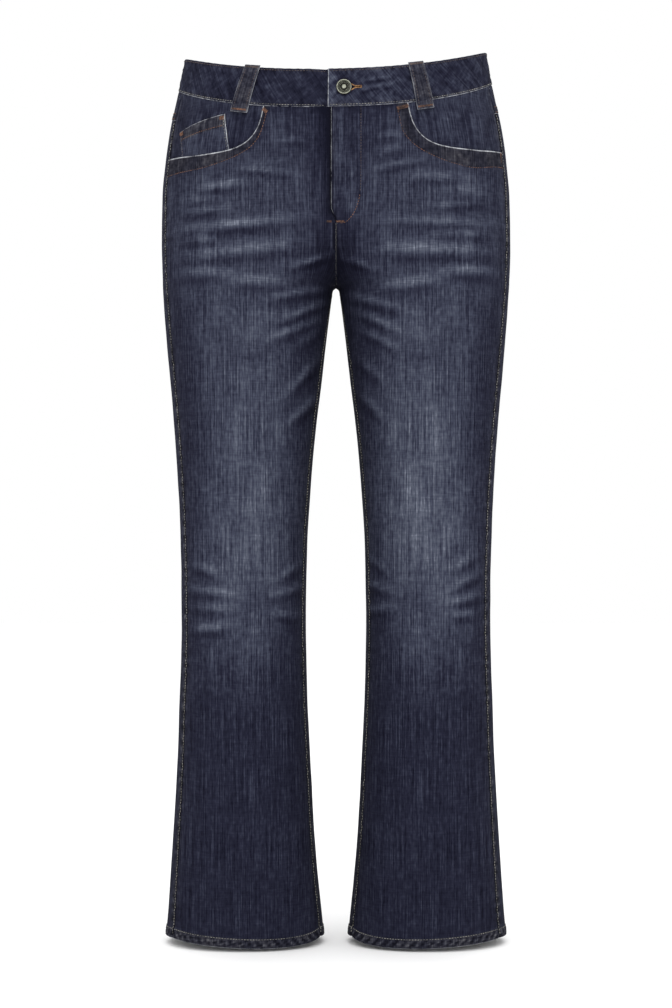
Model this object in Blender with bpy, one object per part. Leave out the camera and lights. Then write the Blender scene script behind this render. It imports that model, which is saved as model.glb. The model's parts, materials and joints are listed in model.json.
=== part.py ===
"""Bootcut five-pocket jeans, filled out as if worn and held at the waist.

The front faces -Y, the wearer's left is +X, and the origin is the middle of the waist
opening. Every piece of cloth is a wall laid along one measured body of sections, moved
in or out from it. Metres throughout.
"""
import math

import bpy
import numpy as np

# ---------------------------------------------------------------- driving sizes
CROTCH = -0.2645
CLOTH = 0.0010
SEAM_GAP = 0.0003
BAND_PROUD = 0.0006
BAND_THICK = 0.0022
BAND_SIDE = 0.0365
BAND_FRONT_MORE = 0.0040
WAIST_FRONT_DROP = 0.0330
WAIST_FRONT_DEPTH = 0.104
WAIST_DROP_POWER = 1.50
WAIST_BACK_RISE = 0.0040
WAIST_TILT = 0.0215
HEM_SIDE = -1.0070
HEM_FRONT_DIP = 0.0066
HEM_BACK_DIP = 0.0030
HEM_TALL = 0.0120
HEM_PROUD = 0.0008
FLY_SHIFT = -0.0055
FLY_FOOT = -0.2020
FLY_BLEND = 0.0160
YOKE_SIDE = 0.0320
YOKE_BACK = 0.0620
LOOP_WIDE = 0.0165
LOOP_THICK = 0.0017
LOOP_BELOW = 0.0080
FACING_OUT = -0.0031
CROTCH_GAP = 0.0012
CHART_MARGIN = 0.06
CHART_SAMPLES = 96
COLUMNS = 14
FACING_AT_SEAM = -0.0006
FACING_BELOW = 0.0160
COIN_LIFT = 0.0003
BACK_POCKET_MIDDLE = 0.50
BACK_POCKET_LIFT = 0.0010
BACK_POCKET_FOOT_LIFT = 0.0022
BUTTON_X = 0.0088
BUTTON_WIDE = 0.0174
LAP_END_X = -0.0088
UNDERLAP_END_X = 0.0300
BAND_MIDDLE = -0.054
BAND_DIVE = 0.17
# The buttonhole: its eye's two ends and its slit's end, as distances from the button.
HOLE_EYE_START = -0.0035
HOLE_EYE_END = 0.0035
HOLE_SLIT_END = 0.0155
HOLE_EYE_HALF = 0.0035
HOLE_SLIT_HALF = 0.0008
POST_HALF = 0.0026
ZIP_HALF = 0.0155
ZIP_UP = 0.020
ZIP_OUT = -0.0036
ZIP_CHAIN = -0.0020
SHIELD_RIGHT = -0.0200
SHIELD_LEFT = 0.0260
SHIELD_UP = 0.012
SLIDER_HALF = 0.0040
SLIDER_TOP = -0.0017
SLIDER_FOOT = -0.0032

# One row for each level of the body: its height, how far its outer and inner sides stand
# from the centre plane, how deep it is in front and behind, where its widest line is,
# and how square its curve is.
BODY = np.array(
    [
        # height, outer, inner, front, back, middle, power
        (0.0400, 0.1680, 0.0000, 0.0960, 0.0940, 0.000, 2.10),
        (0.0000, 0.1727, 0.0000, 0.0990, 0.0980, 0.000, 2.10),
        (-0.0150, 0.1749, 0.0000, 0.1010, 0.1000, 0.000, 2.12),
        (-0.0380, 0.1797, 0.0000, 0.1045, 0.1040, 0.000, 2.15),
        (-0.0564, 0.1837, 0.0000, 0.1070, 0.1085, 0.000, 2.20),
        (-0.0840, 0.1899, 0.0000, 0.1100, 0.1150, 0.000, 2.25),
        (-0.1185, 0.1951, 0.0000, 0.1120, 0.1240, 0.001, 2.30),
        (-0.1645, 0.1993, 0.0000, 0.1120, 0.1320, 0.003, 2.35),
        (-0.2105, 0.2001, 0.0000, 0.1090, 0.1330, 0.004, 2.40),
        (-0.2450, 0.1995, 0.0000, 0.1040, 0.1290, 0.004, 2.40),
        (-0.2645, 0.1987, 0.0000, 0.1010, 0.1250, 0.003, 2.40),
        (-0.2651, 0.1987, 0.0014, 0.1009, 0.1249, 0.003, 2.40),
        (-0.2662, 0.1986, 0.0026, 0.1007, 0.1246, 0.003, 2.39),
        (-0.2685, 0.1985, 0.0038, 0.1003, 0.1240, 0.003, 2.38),
        (-0.2795, 0.1978, 0.0052, 0.0985, 0.1205, 0.002, 2.34),
        (-0.3025, 0.1962, 0.0081, 0.0950, 0.1150, 0.001, 2.28),
        (-0.3255, 0.1944, 0.0109, 0.0920, 0.1100, 0.000, 2.24),
        (-0.3715, 0.1903, 0.0161, 0.0870, 0.1010, -0.001, 2.18),
        (-0.4175, 0.1863, 0.0219, 0.0830, 0.0930, -0.002, 2.14),
        (-0.4635, 0.1829, 0.0265, 0.0790, 0.0860, -0.003, 2.10),
        (-0.5095, 0.1800, 0.0299, 0.0755, 0.0790, -0.004, 2.10),
        (-0.5555, 0.1783, 0.0328, 0.0725, 0.0735, -0.005, 2.10),
        (-0.6015, 0.1772, 0.0339, 0.0705, 0.0690, -0.006, 2.10),
        (-0.6475, 0.1769, 0.0345, 0.0690, 0.0665, -0.005, 2.10),
        (-0.6935, 0.1778, 0.0339, 0.0670, 0.0680, -0.003, 2.10),
        (-0.7395, 0.1799, 0.0328, 0.0655, 0.0710, 0.000, 2.10),
        (-0.7855, 0.1813, 0.0305, 0.0645, 0.0725, 0.002, 2.10),
        (-0.8315, 0.1836, 0.0282, 0.0640, 0.0730, 0.003, 2.10),
        (-0.8775, 0.1863, 0.0259, 0.0640, 0.0725, 0.003, 2.10),
        (-0.9235, 0.1892, 0.0224, 0.0642, 0.0715, 0.002, 2.10),
        (-0.9695, 0.1921, 0.0178, 0.0646, 0.0705, 0.001, 2.10),
        (-1.0040, 0.1949, 0.0144, 0.0650, 0.0700, 0.000, 2.10),
        (-1.0400, 0.1975, 0.0110, 0.0652, 0.0695, 0.000, 2.10),
    ]
)

# How far each thigh's curve still stands off the centre plane above the crotch, as a
# part of its own half width: 1 closes the leg, 0 is one curve round both hips.
RISE = np.array(
    [
        # above_crotch, front_share, back_share
        (0.000, 1.00, 1.00),
        (0.006, 0.94, 0.955),
        (0.011, 0.89, 0.920),
        (0.018, 0.81, 0.870),
        (0.027, 0.71, 0.800),
        (0.038, 0.56, 0.710),
        (0.052, 0.34, 0.580),
        (0.065, 0.15, 0.450),
        (0.080, 0.04, 0.300),
        (0.095, 0.00, 0.170),
        (0.120, 0.00, 0.050),
        (0.150, 0.00, 0.000),
        (0.400, 0.00, 0.000),
    ]
)

# How far forward of the widest line each long seam lies, as a distance in from the side.
SEAMS = np.array(
    [
        # height, outseam_in, inseam_in
        (0.0400, 0.0055, 0.0000),
        (-0.1185, 0.0065, 0.0000),
        (-0.2645, 0.0075, 0.0000),
        (-0.3025, 0.0078, 0.0010),
        (-0.3715, 0.0080, 0.0030),
        (-0.8315, 0.0085, 0.0040),
        (-1.0400, 0.0105, 0.0042),
    ]
)

# The mouth of each front pocket, from the side seam up to the waistband.
MOUTH = np.array(
    [
        # along_cloth, height
        (0.0000, -0.1195),
        (0.0240, -0.1205),
        (0.0500, -0.1215),
        (0.0750, -0.1207),
        (0.0950, -0.1183),
        (0.1080, -0.1138),
        (0.1165, -0.1075),
        (0.1220, -0.0995),
        (0.1252, -0.0900),
        (0.1262, -0.0800),
        (0.1262, -0.0700),
    ]
)

# Creases worn into the cloth: a soft ridge (or a trough where the depth is negative).
FOLDS = (
    # face, side, across, height, length, width, tilt, depth
    ("front", 1, 0.120, -0.142, 0.050, 0.0075, 4, 0.0011),
    ("front", 1, 0.105, -0.168, 0.046, 0.0075, -3, 0.0012),
    ("front", 1, 0.120, -0.196, 0.042, 0.0080, -6, 0.0010),
    ("front", 1, 0.070, -0.215, 0.036, 0.0075, -18, 0.0011),
    ("front", 1, 0.055, -0.245, 0.030, 0.0080, -30, 0.0012),
    ("front", 1, 0.050, -0.285, 0.028, 0.0090, 34, -0.0012),
    ("front", 1, 0.052, -0.325, 0.028, 0.0100, 38, 0.0012),
    ("front", -1, 0.110, -0.150, 0.052, 0.0075, 3, 0.0011),
    ("front", -1, 0.125, -0.178, 0.044, 0.0075, -5, 0.0012),
    ("front", -1, 0.100, -0.202, 0.044, 0.0080, -4, 0.0009),
    ("front", -1, 0.075, -0.222, 0.034, 0.0075, -20, 0.0011),
    ("front", -1, 0.052, -0.250, 0.030, 0.0080, -32, 0.0012),
    ("front", -1, 0.048, -0.290, 0.026, 0.0090, 36, -0.0012),
    ("front", -1, 0.055, -0.332, 0.028, 0.0100, 40, 0.0011),
    ("front", 1, 0.150, -0.590, 0.020, 0.0110, 10, 0.0013),
    ("front", 1, 0.155, -0.625, 0.022, 0.0110, -4, 0.0012),
    ("front", 1, 0.055, -0.575, 0.018, 0.0110, 28, 0.0013),
    ("front", 1, 0.055, -0.615, 0.020, 0.0110, 4, 0.0012),
    ("front", -1, 0.150, -0.585, 0.020, 0.0110, 12, 0.0013),
    ("front", -1, 0.152, -0.620, 0.022, 0.0110, 0, 0.0012),
    ("front", -1, 0.055, -0.570, 0.018, 0.0110, 24, 0.0012),
    ("front", -1, 0.055, -0.612, 0.020, 0.0110, -2, 0.0013),
    ("back", 1, 0.100, -0.262, 0.050, 0.0110, 8, -0.0018),
    ("back", 1, 0.085, -0.300, 0.042, 0.0120, 16, 0.0014),
    ("back", -1, 0.100, -0.266, 0.050, 0.0110, 6, -0.0018),
    ("back", -1, 0.090, -0.306, 0.040, 0.0120, 14, 0.0014),
    ("back", 1, 0.105, -0.590, 0.040, 0.0120, 5, 0.0018),
    ("back", 1, 0.110, -0.630, 0.042, 0.0130, -6, -0.0018),
    ("back", 1, 0.102, -0.668, 0.036, 0.0130, 3, 0.0015),
    ("back", -1, 0.108, -0.585, 0.040, 0.0120, -4, 0.0018),
    ("back", -1, 0.104, -0.626, 0.042, 0.0130, 7, -0.0018),
    ("back", -1, 0.108, -0.664, 0.036, 0.0130, -3, 0.0015),
)

# Finishes: a colour, a roughness and a metallic value.
DENIM = ((0.020, 0.029, 0.062, 1.0), 0.85, 0.0)
DENIM_WORN = ((0.060, 0.060, 0.070, 1.0), 0.85, 0.0)
TAPE = ((0.035, 0.037, 0.045, 1.0), 0.80, 0.0)
METAL = ((0.36, 0.36, 0.29, 1.0), 0.40, 0.9)

# Each loop: where its middle stands as an angle round the waist, at its top and foot.
LOOPS = (
    # name, top_angle, foot_angle
    ("loop_front_left", 46.0, 44.4),
    ("loop_front_right", 135.4, 138.6),
    ("loop_side_left", -38.0, -38.0),
    ("loop_side_right", 218.0, 218.0),
    ("loop_back", -90.0, -90.0),
)
# How far a loop stands off the band, from its foot, 0, to its top, 1.
LOOP_STATIONS = (0.0, 0.10, 0.22, 0.60, 0.92, 1.0)
LOOP_LIFTS = (0.0007, 0.0008, 0.0016, 0.0024, 0.0016, 0.0010)

# The coin pocket's corners: how far along the cloth and how high.
COIN = (
    # corner, along_cloth, height
    ("outer_foot", 0.0295, -0.1330),
    ("inner_foot", 0.0955, -0.1290),
    ("inner_top", 0.0815, -0.0800),
    ("outer_top", 0.0175, -0.0945),
)

# A back pocket's outline, worked from its mouth down.
BACK_POCKET = (
    # down_from_yoke, half_width
    (0.014, 0.0780),
    (0.030, 0.0775),
    (0.054, 0.0755),
    (0.084, 0.0735),
    (0.114, 0.0710),
    (0.132, 0.0480),
    (0.145, 0.0120),
)


# ---------------------------------------------------------------- the measured body
def smooth(t):
    t = np.clip(t, 0.0, 1.0)
    return t * t * (3 - 2 * t)


def column(table, heights, index):
    return np.interp(heights, table[::-1, 0], table[::-1, index])


def level(z):
    """The body's measures at each height z."""
    outer, inner, front, back, middle, power = (
        column(BODY, z, i) for i in range(1, 7)
    )
    above = np.maximum(z - CROTCH, 0.0)
    spans = []
    for i in (1, 2):
        share = np.interp(above, RISE[:, 0], RISE[:, i])
        half = np.where(z > CROTCH, outer / (1 + share), (outer - inner) / 2)
        spans.append((outer - half, half))
    return outer, spans[0], spans[1], front, back, middle, power


def radius(angle, wide, deep, power):
    c, s = np.abs(np.cos(angle)), np.abs(np.sin(angle))
    return ((c / wide) ** power + (s / deep) ** power) ** (-1.0 / power)


def angle_at(share, wide, deep, power):
    """The angle at which the curve stands at this share of its half width."""
    share = np.clip(share, -1.0, 1.0)
    depth = deep * (1 - np.abs(share) ** power) ** (1.0 / power)
    return np.arctan2(depth, share * wide)


def fly_line(z):
    """Where the fly's edge stands, left of the centre plane above the fly's foot."""
    return FLY_SHIFT * smooth((z - FLY_FOOT) / FLY_BLEND)


def cloth(face, side, u, z):
    """Points on the outer face of a front or back piece.

    u runs over the cloth from the outseam, 0, to the inseam or the centre seam, 1.
    """
    shape = np.shape(u)
    u, z = np.ravel(u).astype(float), np.ravel(z).astype(float)
    outer, (fx, fw), (bx, bw), front, back, middle, power = level(z)
    start = angle_at(1 - column(SEAMS, z, 1) / fw, fw, front, power)
    inseam = angle_at(-1 + column(SEAMS, z, 2) / fw, fw, front, power)
    cut = fly_line(z) * side
    if face == "front":
        stop = np.where(
            z > CROTCH, angle_at((cut - fx) / fw, fw, front, power), inseam
        )
    else:
        stop = np.where(
            z > CROTCH,
            -angle_at(-bx / bw, bw, back, power),
            inseam - 2 * math.pi,
        )
    t = np.linspace(-CHART_MARGIN, 1 + CHART_MARGIN, CHART_SAMPLES)[None, :]
    a = start[:, None] + (stop - start)[:, None] * t
    wrapped = np.where(a < -math.pi, a + 2 * math.pi, a)
    ahead = wrapped > 0
    wide = np.where(ahead, fw[:, None], bw[:, None])
    deep = np.where(ahead, front[:, None], back[:, None])
    centre = np.where(ahead, fx[:, None], bx[:, None])
    r = radius(wrapped, wide, deep, power[:, None])
    x = centre + r * np.cos(wrapped)
    y = middle[:, None] - r * np.sin(wrapped)
    step = np.hypot(np.diff(x, axis=1), np.diff(y, axis=1))
    run = np.concatenate([np.zeros((len(z), 1)), np.cumsum(step, axis=1)], axis=1)
    row = np.arange(len(z))
    steps = (CHART_SAMPLES - 1) / (1 + 2 * CHART_MARGIN)
    first, last = CHART_MARGIN * steps, (1 + CHART_MARGIN) * steps
    begin = pick(run, row, np.full(len(z), first))
    full = pick(run, row, np.full(len(z), last)) - begin
    crotch = widest_run(face)
    ease = np.where(z > CROTCH, np.exp(-(z - CROTCH) / 0.08), 1.0)
    reference = np.where(z > CROTCH, full + (crotch - full) * ease, full)
    inside = np.clip(u, 0.0, 1.0)
    s = inside * reference - (reference - full) * inside**3
    s = s + (u - inside) * full
    trim = CROTCH_GAP * np.exp(-(((z - CROTCH) / 0.004) ** 2)) + SEAM_GAP
    s = begin + SEAM_GAP / 2 + s * (full - trim) / full
    at = index_of(run, s)
    px, py = pick(x, row, at), pick(y, row, at)
    px = px + SEAM_GAP / 2
    return np.stack([side * px, py, z], axis=-1).reshape(shape + (3,))


def pick(values, row, at):
    lo = np.clip(np.floor(at).astype(int), 0, values.shape[1] - 2)
    part = at - lo
    return values[row, lo] * (1 - part) + values[row, lo + 1] * part


def index_of(run, s):
    lo = np.sum(run <= s[:, None], axis=1) - 1
    lo = np.clip(lo, 0, run.shape[1] - 2)
    row = np.arange(len(s))
    span = run[row, lo + 1] - run[row, lo]
    return lo + (s - run[row, lo]) / span


def widest_run(face):
    """The length of cloth from outseam to crotch point, at the crotch."""
    outer, (fx, fw), (bx, bw), front, back, middle, power = level(np.array([CROTCH]))
    start = angle_at(1 - column(SEAMS, CROTCH, 1) / fw, fw, front, power)
    stop = math.pi if face == "front" else -math.pi
    a = np.linspace(start[0], stop, 400)
    ahead = a > 0
    r = radius(a, fw, np.where(ahead, front, back), power)
    return float(np.hypot(np.diff(r * np.cos(a)), np.diff(r * np.sin(a))).sum())


def ring(angle, z):
    """Points round the hips above the crotch, angle 0 at the wearer's left."""
    outer, (fx, fw), (bx, bw), front, back, middle, power = level(np.ravel(z))
    a = np.ravel(angle)
    deep = np.where(np.sin(a) > 0, front, back)
    r = radius(a, outer, deep, power)
    points = np.stack([r * np.cos(a), middle - r * np.sin(a), np.ravel(z)], axis=-1)
    return points.reshape(np.shape(angle) + (3,))


def waist_top(point):
    x, y = point[..., 0], point[..., 1]
    ahead = np.clip(-y / WAIST_FRONT_DEPTH, 0.0, None) ** WAIST_DROP_POWER
    behind = np.clip(y / WAIST_FRONT_DEPTH, 0.0, None)
    return -WAIST_FRONT_DROP * ahead + WAIST_BACK_RISE * behind + WAIST_TILT * x


def waist_seam(point):
    ahead = np.clip(-point[..., 1] / WAIST_FRONT_DEPTH, 0.0, 1.0)
    return waist_top(point) - BAND_SIDE - BAND_FRONT_MORE * ahead


def on_seam(face, side, u):
    """The waist seam's height along a piece."""
    z = np.full(np.shape(u), -0.05)
    for _ in range(4):
        z = waist_seam(cloth(face, side, u, z))
    return z


def along(face, side, u, z):
    """How far along the cloth u is from the outseam, at each height."""
    steps = np.linspace(0.0, 1.0, 33)
    shape = np.shape(u)
    zz = np.repeat(np.ravel(z)[:, None], 33, axis=1)
    uu = np.ravel(u)[:, None] * steps[None, :]
    points = cloth(face, side, uu, zz)
    return np.linalg.norm(np.diff(points, axis=1), axis=-1).sum(axis=1).reshape(shape)


def u_for(face, side, distance, z):
    """The u that stands this far along the cloth from the outseam."""
    u = np.asarray(distance, float) / 0.25
    for _ in range(6):
        u = u * np.asarray(distance, float) / np.maximum(along(face, side, u, z), 1e-6)
    return u


def creased(face, side, points, normals):
    """Moves the points along their normals by the worn-in folds."""
    move = np.zeros(points.shape[:-1])
    for where, on, across, height, length, width, tilt, depth in FOLDS:
        if where != face or on != side:
            continue
        c, s = math.cos(math.radians(tilt)), math.sin(math.radians(tilt))
        dx = side * points[..., 0] - across
        dz = points[..., 2] - height
        run = (dx * c + dz * s) / length
        over = (-dx * s + dz * c) / width
        move += depth * np.exp(-(run**2) - over**2)
    return points + normals * move[..., None]


def normals_of(grid, side):
    """Unit normals of a grid of points, out of the cloth."""
    du, dv = np.gradient(grid, axis=1), np.gradient(grid, axis=0)
    n = np.cross(du, dv)
    n /= np.maximum(np.linalg.norm(n, axis=-1, keepdims=True), 1e-12)
    return n * -side


def laid(face, side, u, z):
    """Creased points and normals for a grid, from a grid one step larger all round."""
    u = np.hstack([2 * u[:, :1] - u[:, 1:2], u, 2 * u[:, -1:] - u[:, -2:-1]])
    z = np.hstack([2 * z[:, :1] - z[:, 1:2], z, 2 * z[:, -1:] - z[:, -2:-1]])
    edge = 0.004
    u = np.vstack([u[:1], u, u[-1:]])
    z = np.vstack([z[:1] - edge, z, z[-1:] + edge])
    u = np.clip(u, -0.05, 1.05)
    points = cloth(face, side, u, z)
    flip = side if face == "front" else -side
    n = normals_of(points, flip)
    points = creased(face, side, points, n)
    n = normals_of(points, flip)
    return points[1:-1, 1:-1], n[1:-1, 1:-1]


# ---------------------------------------------------------------- solids
def halves(verts, quad):
    """A four-sided cell as two triangles, split along its shorter diagonal."""
    a, b, c, d = quad
    if np.linalg.norm(verts[a] - verts[c]) <= np.linalg.norm(verts[b] - verts[d]):
        return (a, b, c), (a, c, d)
    return (a, b, d), (b, c, d)


def wall(name, outer, inner, finish, keep=None):
    """A closed solid between two grids, with kept cells only."""
    rows, cols = outer.shape[:2]
    if keep is None:
        keep = np.ones((rows - 1, cols - 1), bool)
    verts = np.concatenate([outer.reshape(-1, 3), inner.reshape(-1, 3)])
    half = rows * cols
    faces = []
    edges = {}
    for i in range(rows - 1):
        for j in range(cols - 1):
            if not keep[i, j]:
                continue
            a = i * cols + j
            quad = (a, a + 1, a + cols + 1, a + cols)
            for tri in halves(verts, quad):
                faces.append(tri)
                faces.append(tuple(half + v for v in reversed(tri)))
            for k in range(4):
                edges[(quad[k], quad[(k + 1) % 4])] = True
    for a, b in list(edges):
        if (b, a) not in edges:
            faces.append((b, a, half + a, half + b))
    used = sorted({v for f in faces for v in f})
    order = {v: k for k, v in enumerate(used)}
    faces = [tuple(order[v] for v in f) for f in faces]
    return solid(name, verts[used], faces, finish)


def solid(name, verts, faces, finish):
    """A mesh object with its own material, its faces turned outward."""
    mesh = bpy.data.meshes.new(name)
    tris = []
    for f in faces:
        for k in range(1, len(f) - 1):
            tris.append((f[0], f[k], f[k + 1]))
    v = np.asarray(verts, float)
    t = np.array(tris)
    volume = np.einsum(
        "ij,ij->i", v[t[:, 0]], np.cross(v[t[:, 1]], v[t[:, 2]])
    ).sum()
    if volume < 0:
        faces = [tuple(reversed(f)) for f in faces]
    mesh.from_pydata([tuple(p) for p in v], [], faces)
    mesh.update()
    made = bpy.data.objects.new(name, mesh)
    bpy.context.scene.collection.objects.link(made)
    material = bpy.data.materials.new(name)
    material.use_nodes = True
    shader = material.node_tree.nodes["Principled BSDF"]
    colour, roughness, metallic = finish
    shader.inputs["Base Color"].default_value = colour
    shader.inputs["Roughness"].default_value = roughness
    shader.inputs["Metallic"].default_value = metallic
    mesh.materials.append(material)
    return made


def layer(name, points, normals, top, bottom, finish, keep=None):
    """A wall between two distances out from a grid of points."""
    top = np.broadcast_to(top, points.shape[:2])[..., None]
    bottom = np.broadcast_to(bottom, points.shape[:2])[..., None]
    outer, inner = points + normals * top, points + normals * bottom
    return wall(name, outer, inner, finish, keep)


# ---------------------------------------------------------------- legs
def leg_rows(last_inner):
    """Heights of the rows at the outseam and at the inseam or centre seam."""
    low = [-0.962, -0.915, -0.868, -0.822, -0.778, -0.738]
    low += [-0.704, -0.680, -0.660, -0.640, -0.620, -0.600, -0.580, -0.558]
    low += [-0.530, -0.500, -0.468, -0.436, -0.405, -0.376, -0.350]
    near = [-0.062, -0.042, -0.026, -0.014, -0.006, -0.0021, -0.0006, 0.0]
    near += [0.0006, 0.0025, 0.006, 0.011, 0.018, 0.027, 0.038, 0.051, 0.066, 0.081]
    inner = np.array(low + [CROTCH + d for d in near])
    side = np.array(low + list(np.linspace(-0.332, last_inner, len(near))))
    return side, inner


def hem_height(face, u):
    dip = HEM_FRONT_DIP if face == "front" else HEM_BACK_DIP
    return HEM_SIDE - dip * np.sin(math.pi * np.clip(u, 0, 1))


def leg_grid(face, side, top_u, top_z, top_rows):
    """u and z for every point of a leg piece, and the row at which the hem stops."""
    u = np.linspace(0.0, 1.0, COLUMNS + 1)
    heights_side, heights_inner = leg_rows(-0.170)
    w = u**1.6
    us, zs = [], []
    hem = hem_height(face, u)
    for up in (0.0, HEM_TALL, HEM_TALL + 0.0008):
        us.append(u)
        zs.append(hem + up)
    for a, b in zip(heights_side, heights_inner):
        us.append(u)
        zs.append(a * (1 - w) + b * w)
    last = zs[-1]
    for k in range(1, top_rows + 1):
        s = k / top_rows
        us.append(u * (1 - s) + top_u * s)
        zs.append(last * (1 - s) + top_z * s)
    return np.array(us), np.array(zs)


def mouth_edge(side):
    """The front piece's top edge: the pocket mouth, then the waist seam."""
    corner = MOUTH[-1, 0]
    u_corner = float(u_for("front", side, np.array([corner]), np.array([-0.075]))[0])
    z_corner = float(on_seam("front", side, np.array([u_corner]))[0]) - SEAM_GAP
    tilt = WAIST_TILT * side * np.interp(MOUTH[:, 0], [0.0, 0.13], [0.188, 0.080])
    heights = MOUTH[:, 1] + tilt
    low, high = heights.min(), heights[-1]
    heights = low + (heights - low) * (z_corner - low) / (high - low)
    u_mouth = u_for("front", side, np.maximum(MOUTH[:, 0], 1e-5), heights)
    u_mouth[0] = 0.0
    rest = np.linspace(u_corner, 1.0, 9)[1:]
    z_rest = on_seam("front", side, rest) - SEAM_GAP
    u_all = np.concatenate([u_mouth, rest])
    z_all = np.concatenate([heights, z_rest])
    return u_all, z_all, len(u_mouth) - 1


def spread(u_all, z_all, face, side, corner, count):
    """Places count + 1 points evenly along an edge, one of them at its corner."""
    points = cloth(face, side, u_all, z_all)
    run = np.concatenate(
        [[0.0], np.cumsum(np.linalg.norm(np.diff(points, axis=0), axis=1))]
    )
    first = int(round(count * run[corner] / run[-1]))
    at = np.concatenate(
        [
            np.linspace(0, run[corner], first + 1),
            np.linspace(run[corner], run[-1], count - first + 1)[1:],
        ]
    )
    return np.interp(at, run, u_all), np.interp(at, run, z_all)


def make_front(side, name):
    u_all, z_all, corner = mouth_edge(side)
    top_u, top_z = spread(u_all, z_all, "front", side, corner, COLUMNS)
    u, z = leg_grid("front", side, top_u, top_z, 6)
    points, normals = laid("front", side, u, z)
    top = np.zeros(u.shape)
    top[:2] = HEM_PROUD
    return layer(name, points, normals, top, -CLOTH, DENIM)


def yoke_edge(side, u):
    """The yoke seam's height along the back."""
    seam = on_seam("back", side, u)
    return seam - YOKE_SIDE - (YOKE_BACK - YOKE_SIDE) * u**1.1


def make_back(side, name):
    u = np.linspace(0.0, 1.0, COLUMNS + 1)
    top_z = yoke_edge(side, u) - SEAM_GAP
    uu, zz = leg_grid("back", side, u, top_z, 4)
    points, normals = laid("back", side, uu, zz)
    top = np.zeros(uu.shape)
    top[:2] = HEM_PROUD
    return layer(name, points, normals, top, -CLOTH, DENIM)


def make_yoke(side, name):
    u = np.linspace(0.0, 1.0, COLUMNS + 1)
    low, high = yoke_edge(side, u), on_seam("back", side, u) - SEAM_GAP
    s = np.linspace(0, 1, 4)[:, None]
    zz = low[None, :] * (1 - s) + high[None, :] * s
    uu = np.broadcast_to(u, zz.shape)
    points, normals = laid("back", side, uu, zz)
    return layer(name, points, normals, 0.0, -CLOTH, DENIM)


# ---------------------------------------------------------------- waistband
def angle_for_x(x, z=BAND_MIDDLE):
    """The angle on the front of the ring where it stands at x."""
    a = math.pi / 2 - x / 0.18
    for _ in range(8):
        p = ring(np.array([a]), np.array([z]))[0]
        a += (p[0] - x) / 0.18
    return a


def band_point(angle, share):
    """Points of the waistband: share 0 is its lower seam and 1 its top edge."""
    z = np.full(np.shape(angle), -0.05)
    for _ in range(4):
        p = ring(angle, z)
        z = waist_seam(p)
    low = z + SEAM_GAP / 2
    z = np.full(np.shape(angle), -0.01)
    for _ in range(4):
        p = ring(angle, z)
        z = waist_top(p)
    return ring(angle, low + (z - low) * share)


def band_grid(angles, shares):
    a = np.broadcast_to(angles[None, :], (len(shares), len(angles)))
    s = np.broadcast_to(shares[:, None], a.shape)
    points = band_point(a, s)
    wider = np.concatenate([[2 * angles[0] - angles[1]], angles])
    wider = np.concatenate([wider, [2 * angles[-1] - angles[-2]]])
    taller = np.concatenate([[shares[0] - 0.1], shares, [shares[-1] + 0.1]])
    a2 = np.broadcast_to(wider[None, :], (len(taller), len(wider)))
    s2 = np.broadcast_to(taller[:, None], a2.shape)
    big = band_point(a2, s2)
    n = normals_of(big, 1)[1:-1, 1:-1]
    outward = points * np.array([1.0, 1.0, 0.0])
    if (n * outward).sum() < 0:
        n = -n
    return points, n


def make_band():
    turn = 2 * math.pi
    start = angle_for_x(LAP_END_X)
    stop = angle_for_x(UNDERLAP_END_X) - turn
    hole = (HOLE_EYE_START, HOLE_EYE_END, HOLE_SLIT_END)
    hole_a = [angle_for_x(BUTTON_X + d) for d in hole]
    post_a = [angle_for_x(BUTTON_X + d) - turn for d in (POST_HALF, -POST_HALF)]
    before = [start, (start + hole_a[0]) / 2]
    sunk_from = angle_for_x(LAP_END_X - 0.0040) - turn
    after = np.linspace(hole_a[2], sunk_from + BAND_DIVE, 50)[1:]
    dive = np.linspace(after[-1], sunk_from, 6)[1:]
    ends = [start - turn, post_a[1], post_a[0], stop]
    angles = np.array(before + hole_a + list(after) + list(dive) + ends)
    tall = BAND_SIDE + BAND_FRONT_MORE
    above = np.array([HOLE_SLIT_HALF, HOLE_EYE_HALF]) / tall
    shares = np.concatenate([[0.0], 0.5 - above[::-1], 0.5 + above, [1.0]])
    points, normals = band_grid(angles, shares)
    sunk = smooth(1 - (angles - sunk_from) / BAND_DIVE)
    drop = -(BAND_THICK + SEAM_GAP) * sunk
    top = BAND_PROUD + drop[None, :] + 0 * shares[:, None]
    bottom = top - BAND_THICK
    keep = np.ones((len(shares) - 1, len(angles) - 1), bool)
    near = {round(v, 6): k for k, v in enumerate(angles)}
    eye, slit = near[round(hole_a[0], 6)], near[round(hole_a[1], 6)]
    keep[1:4, eye] = False
    keep[2, slit] = False
    post = near[round(post_a[1], 6)]
    keep[1:4, post] = False
    return layer("waistband", points, normals, top, bottom, DENIM, keep)


def band_frame(x, share):
    """A place on the front of the waistband, with its outward and across axes."""
    a = angle_for_x(x)
    angles = np.array([a + 0.02, a, a - 0.02])
    points, normals = band_grid(angles, np.array([share - 0.05, share, share + 0.05]))
    out = normals[1, 1]
    across = points[1, 2] - points[1, 0]
    across -= out * across.dot(out)
    across /= np.linalg.norm(across)
    return points[1, 1], out, across


def turned(name, centre, out, across, profile, finish, sides=24):
    """A solid of revolution: the profile's rows are a radius and a height."""
    up = np.cross(out, across)
    verts, faces = [], []
    for r, h in profile:
        for k in range(sides):
            t = 2 * math.pi * k / sides
            verts.append(
                centre + out * h + (across * math.cos(t) + up * math.sin(t)) * r
            )
    rows = len(profile)
    for i in range(rows - 1):
        for k in range(sides):
            a, b = i * sides + k, i * sides + (k + 1) % sides
            faces.append((a, b, b + sides, a + sides))
    faces.append(tuple(reversed(range(sides))))
    faces.append(tuple(range((rows - 1) * sides, rows * sides)))
    return solid(name, verts, faces, finish)


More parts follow.
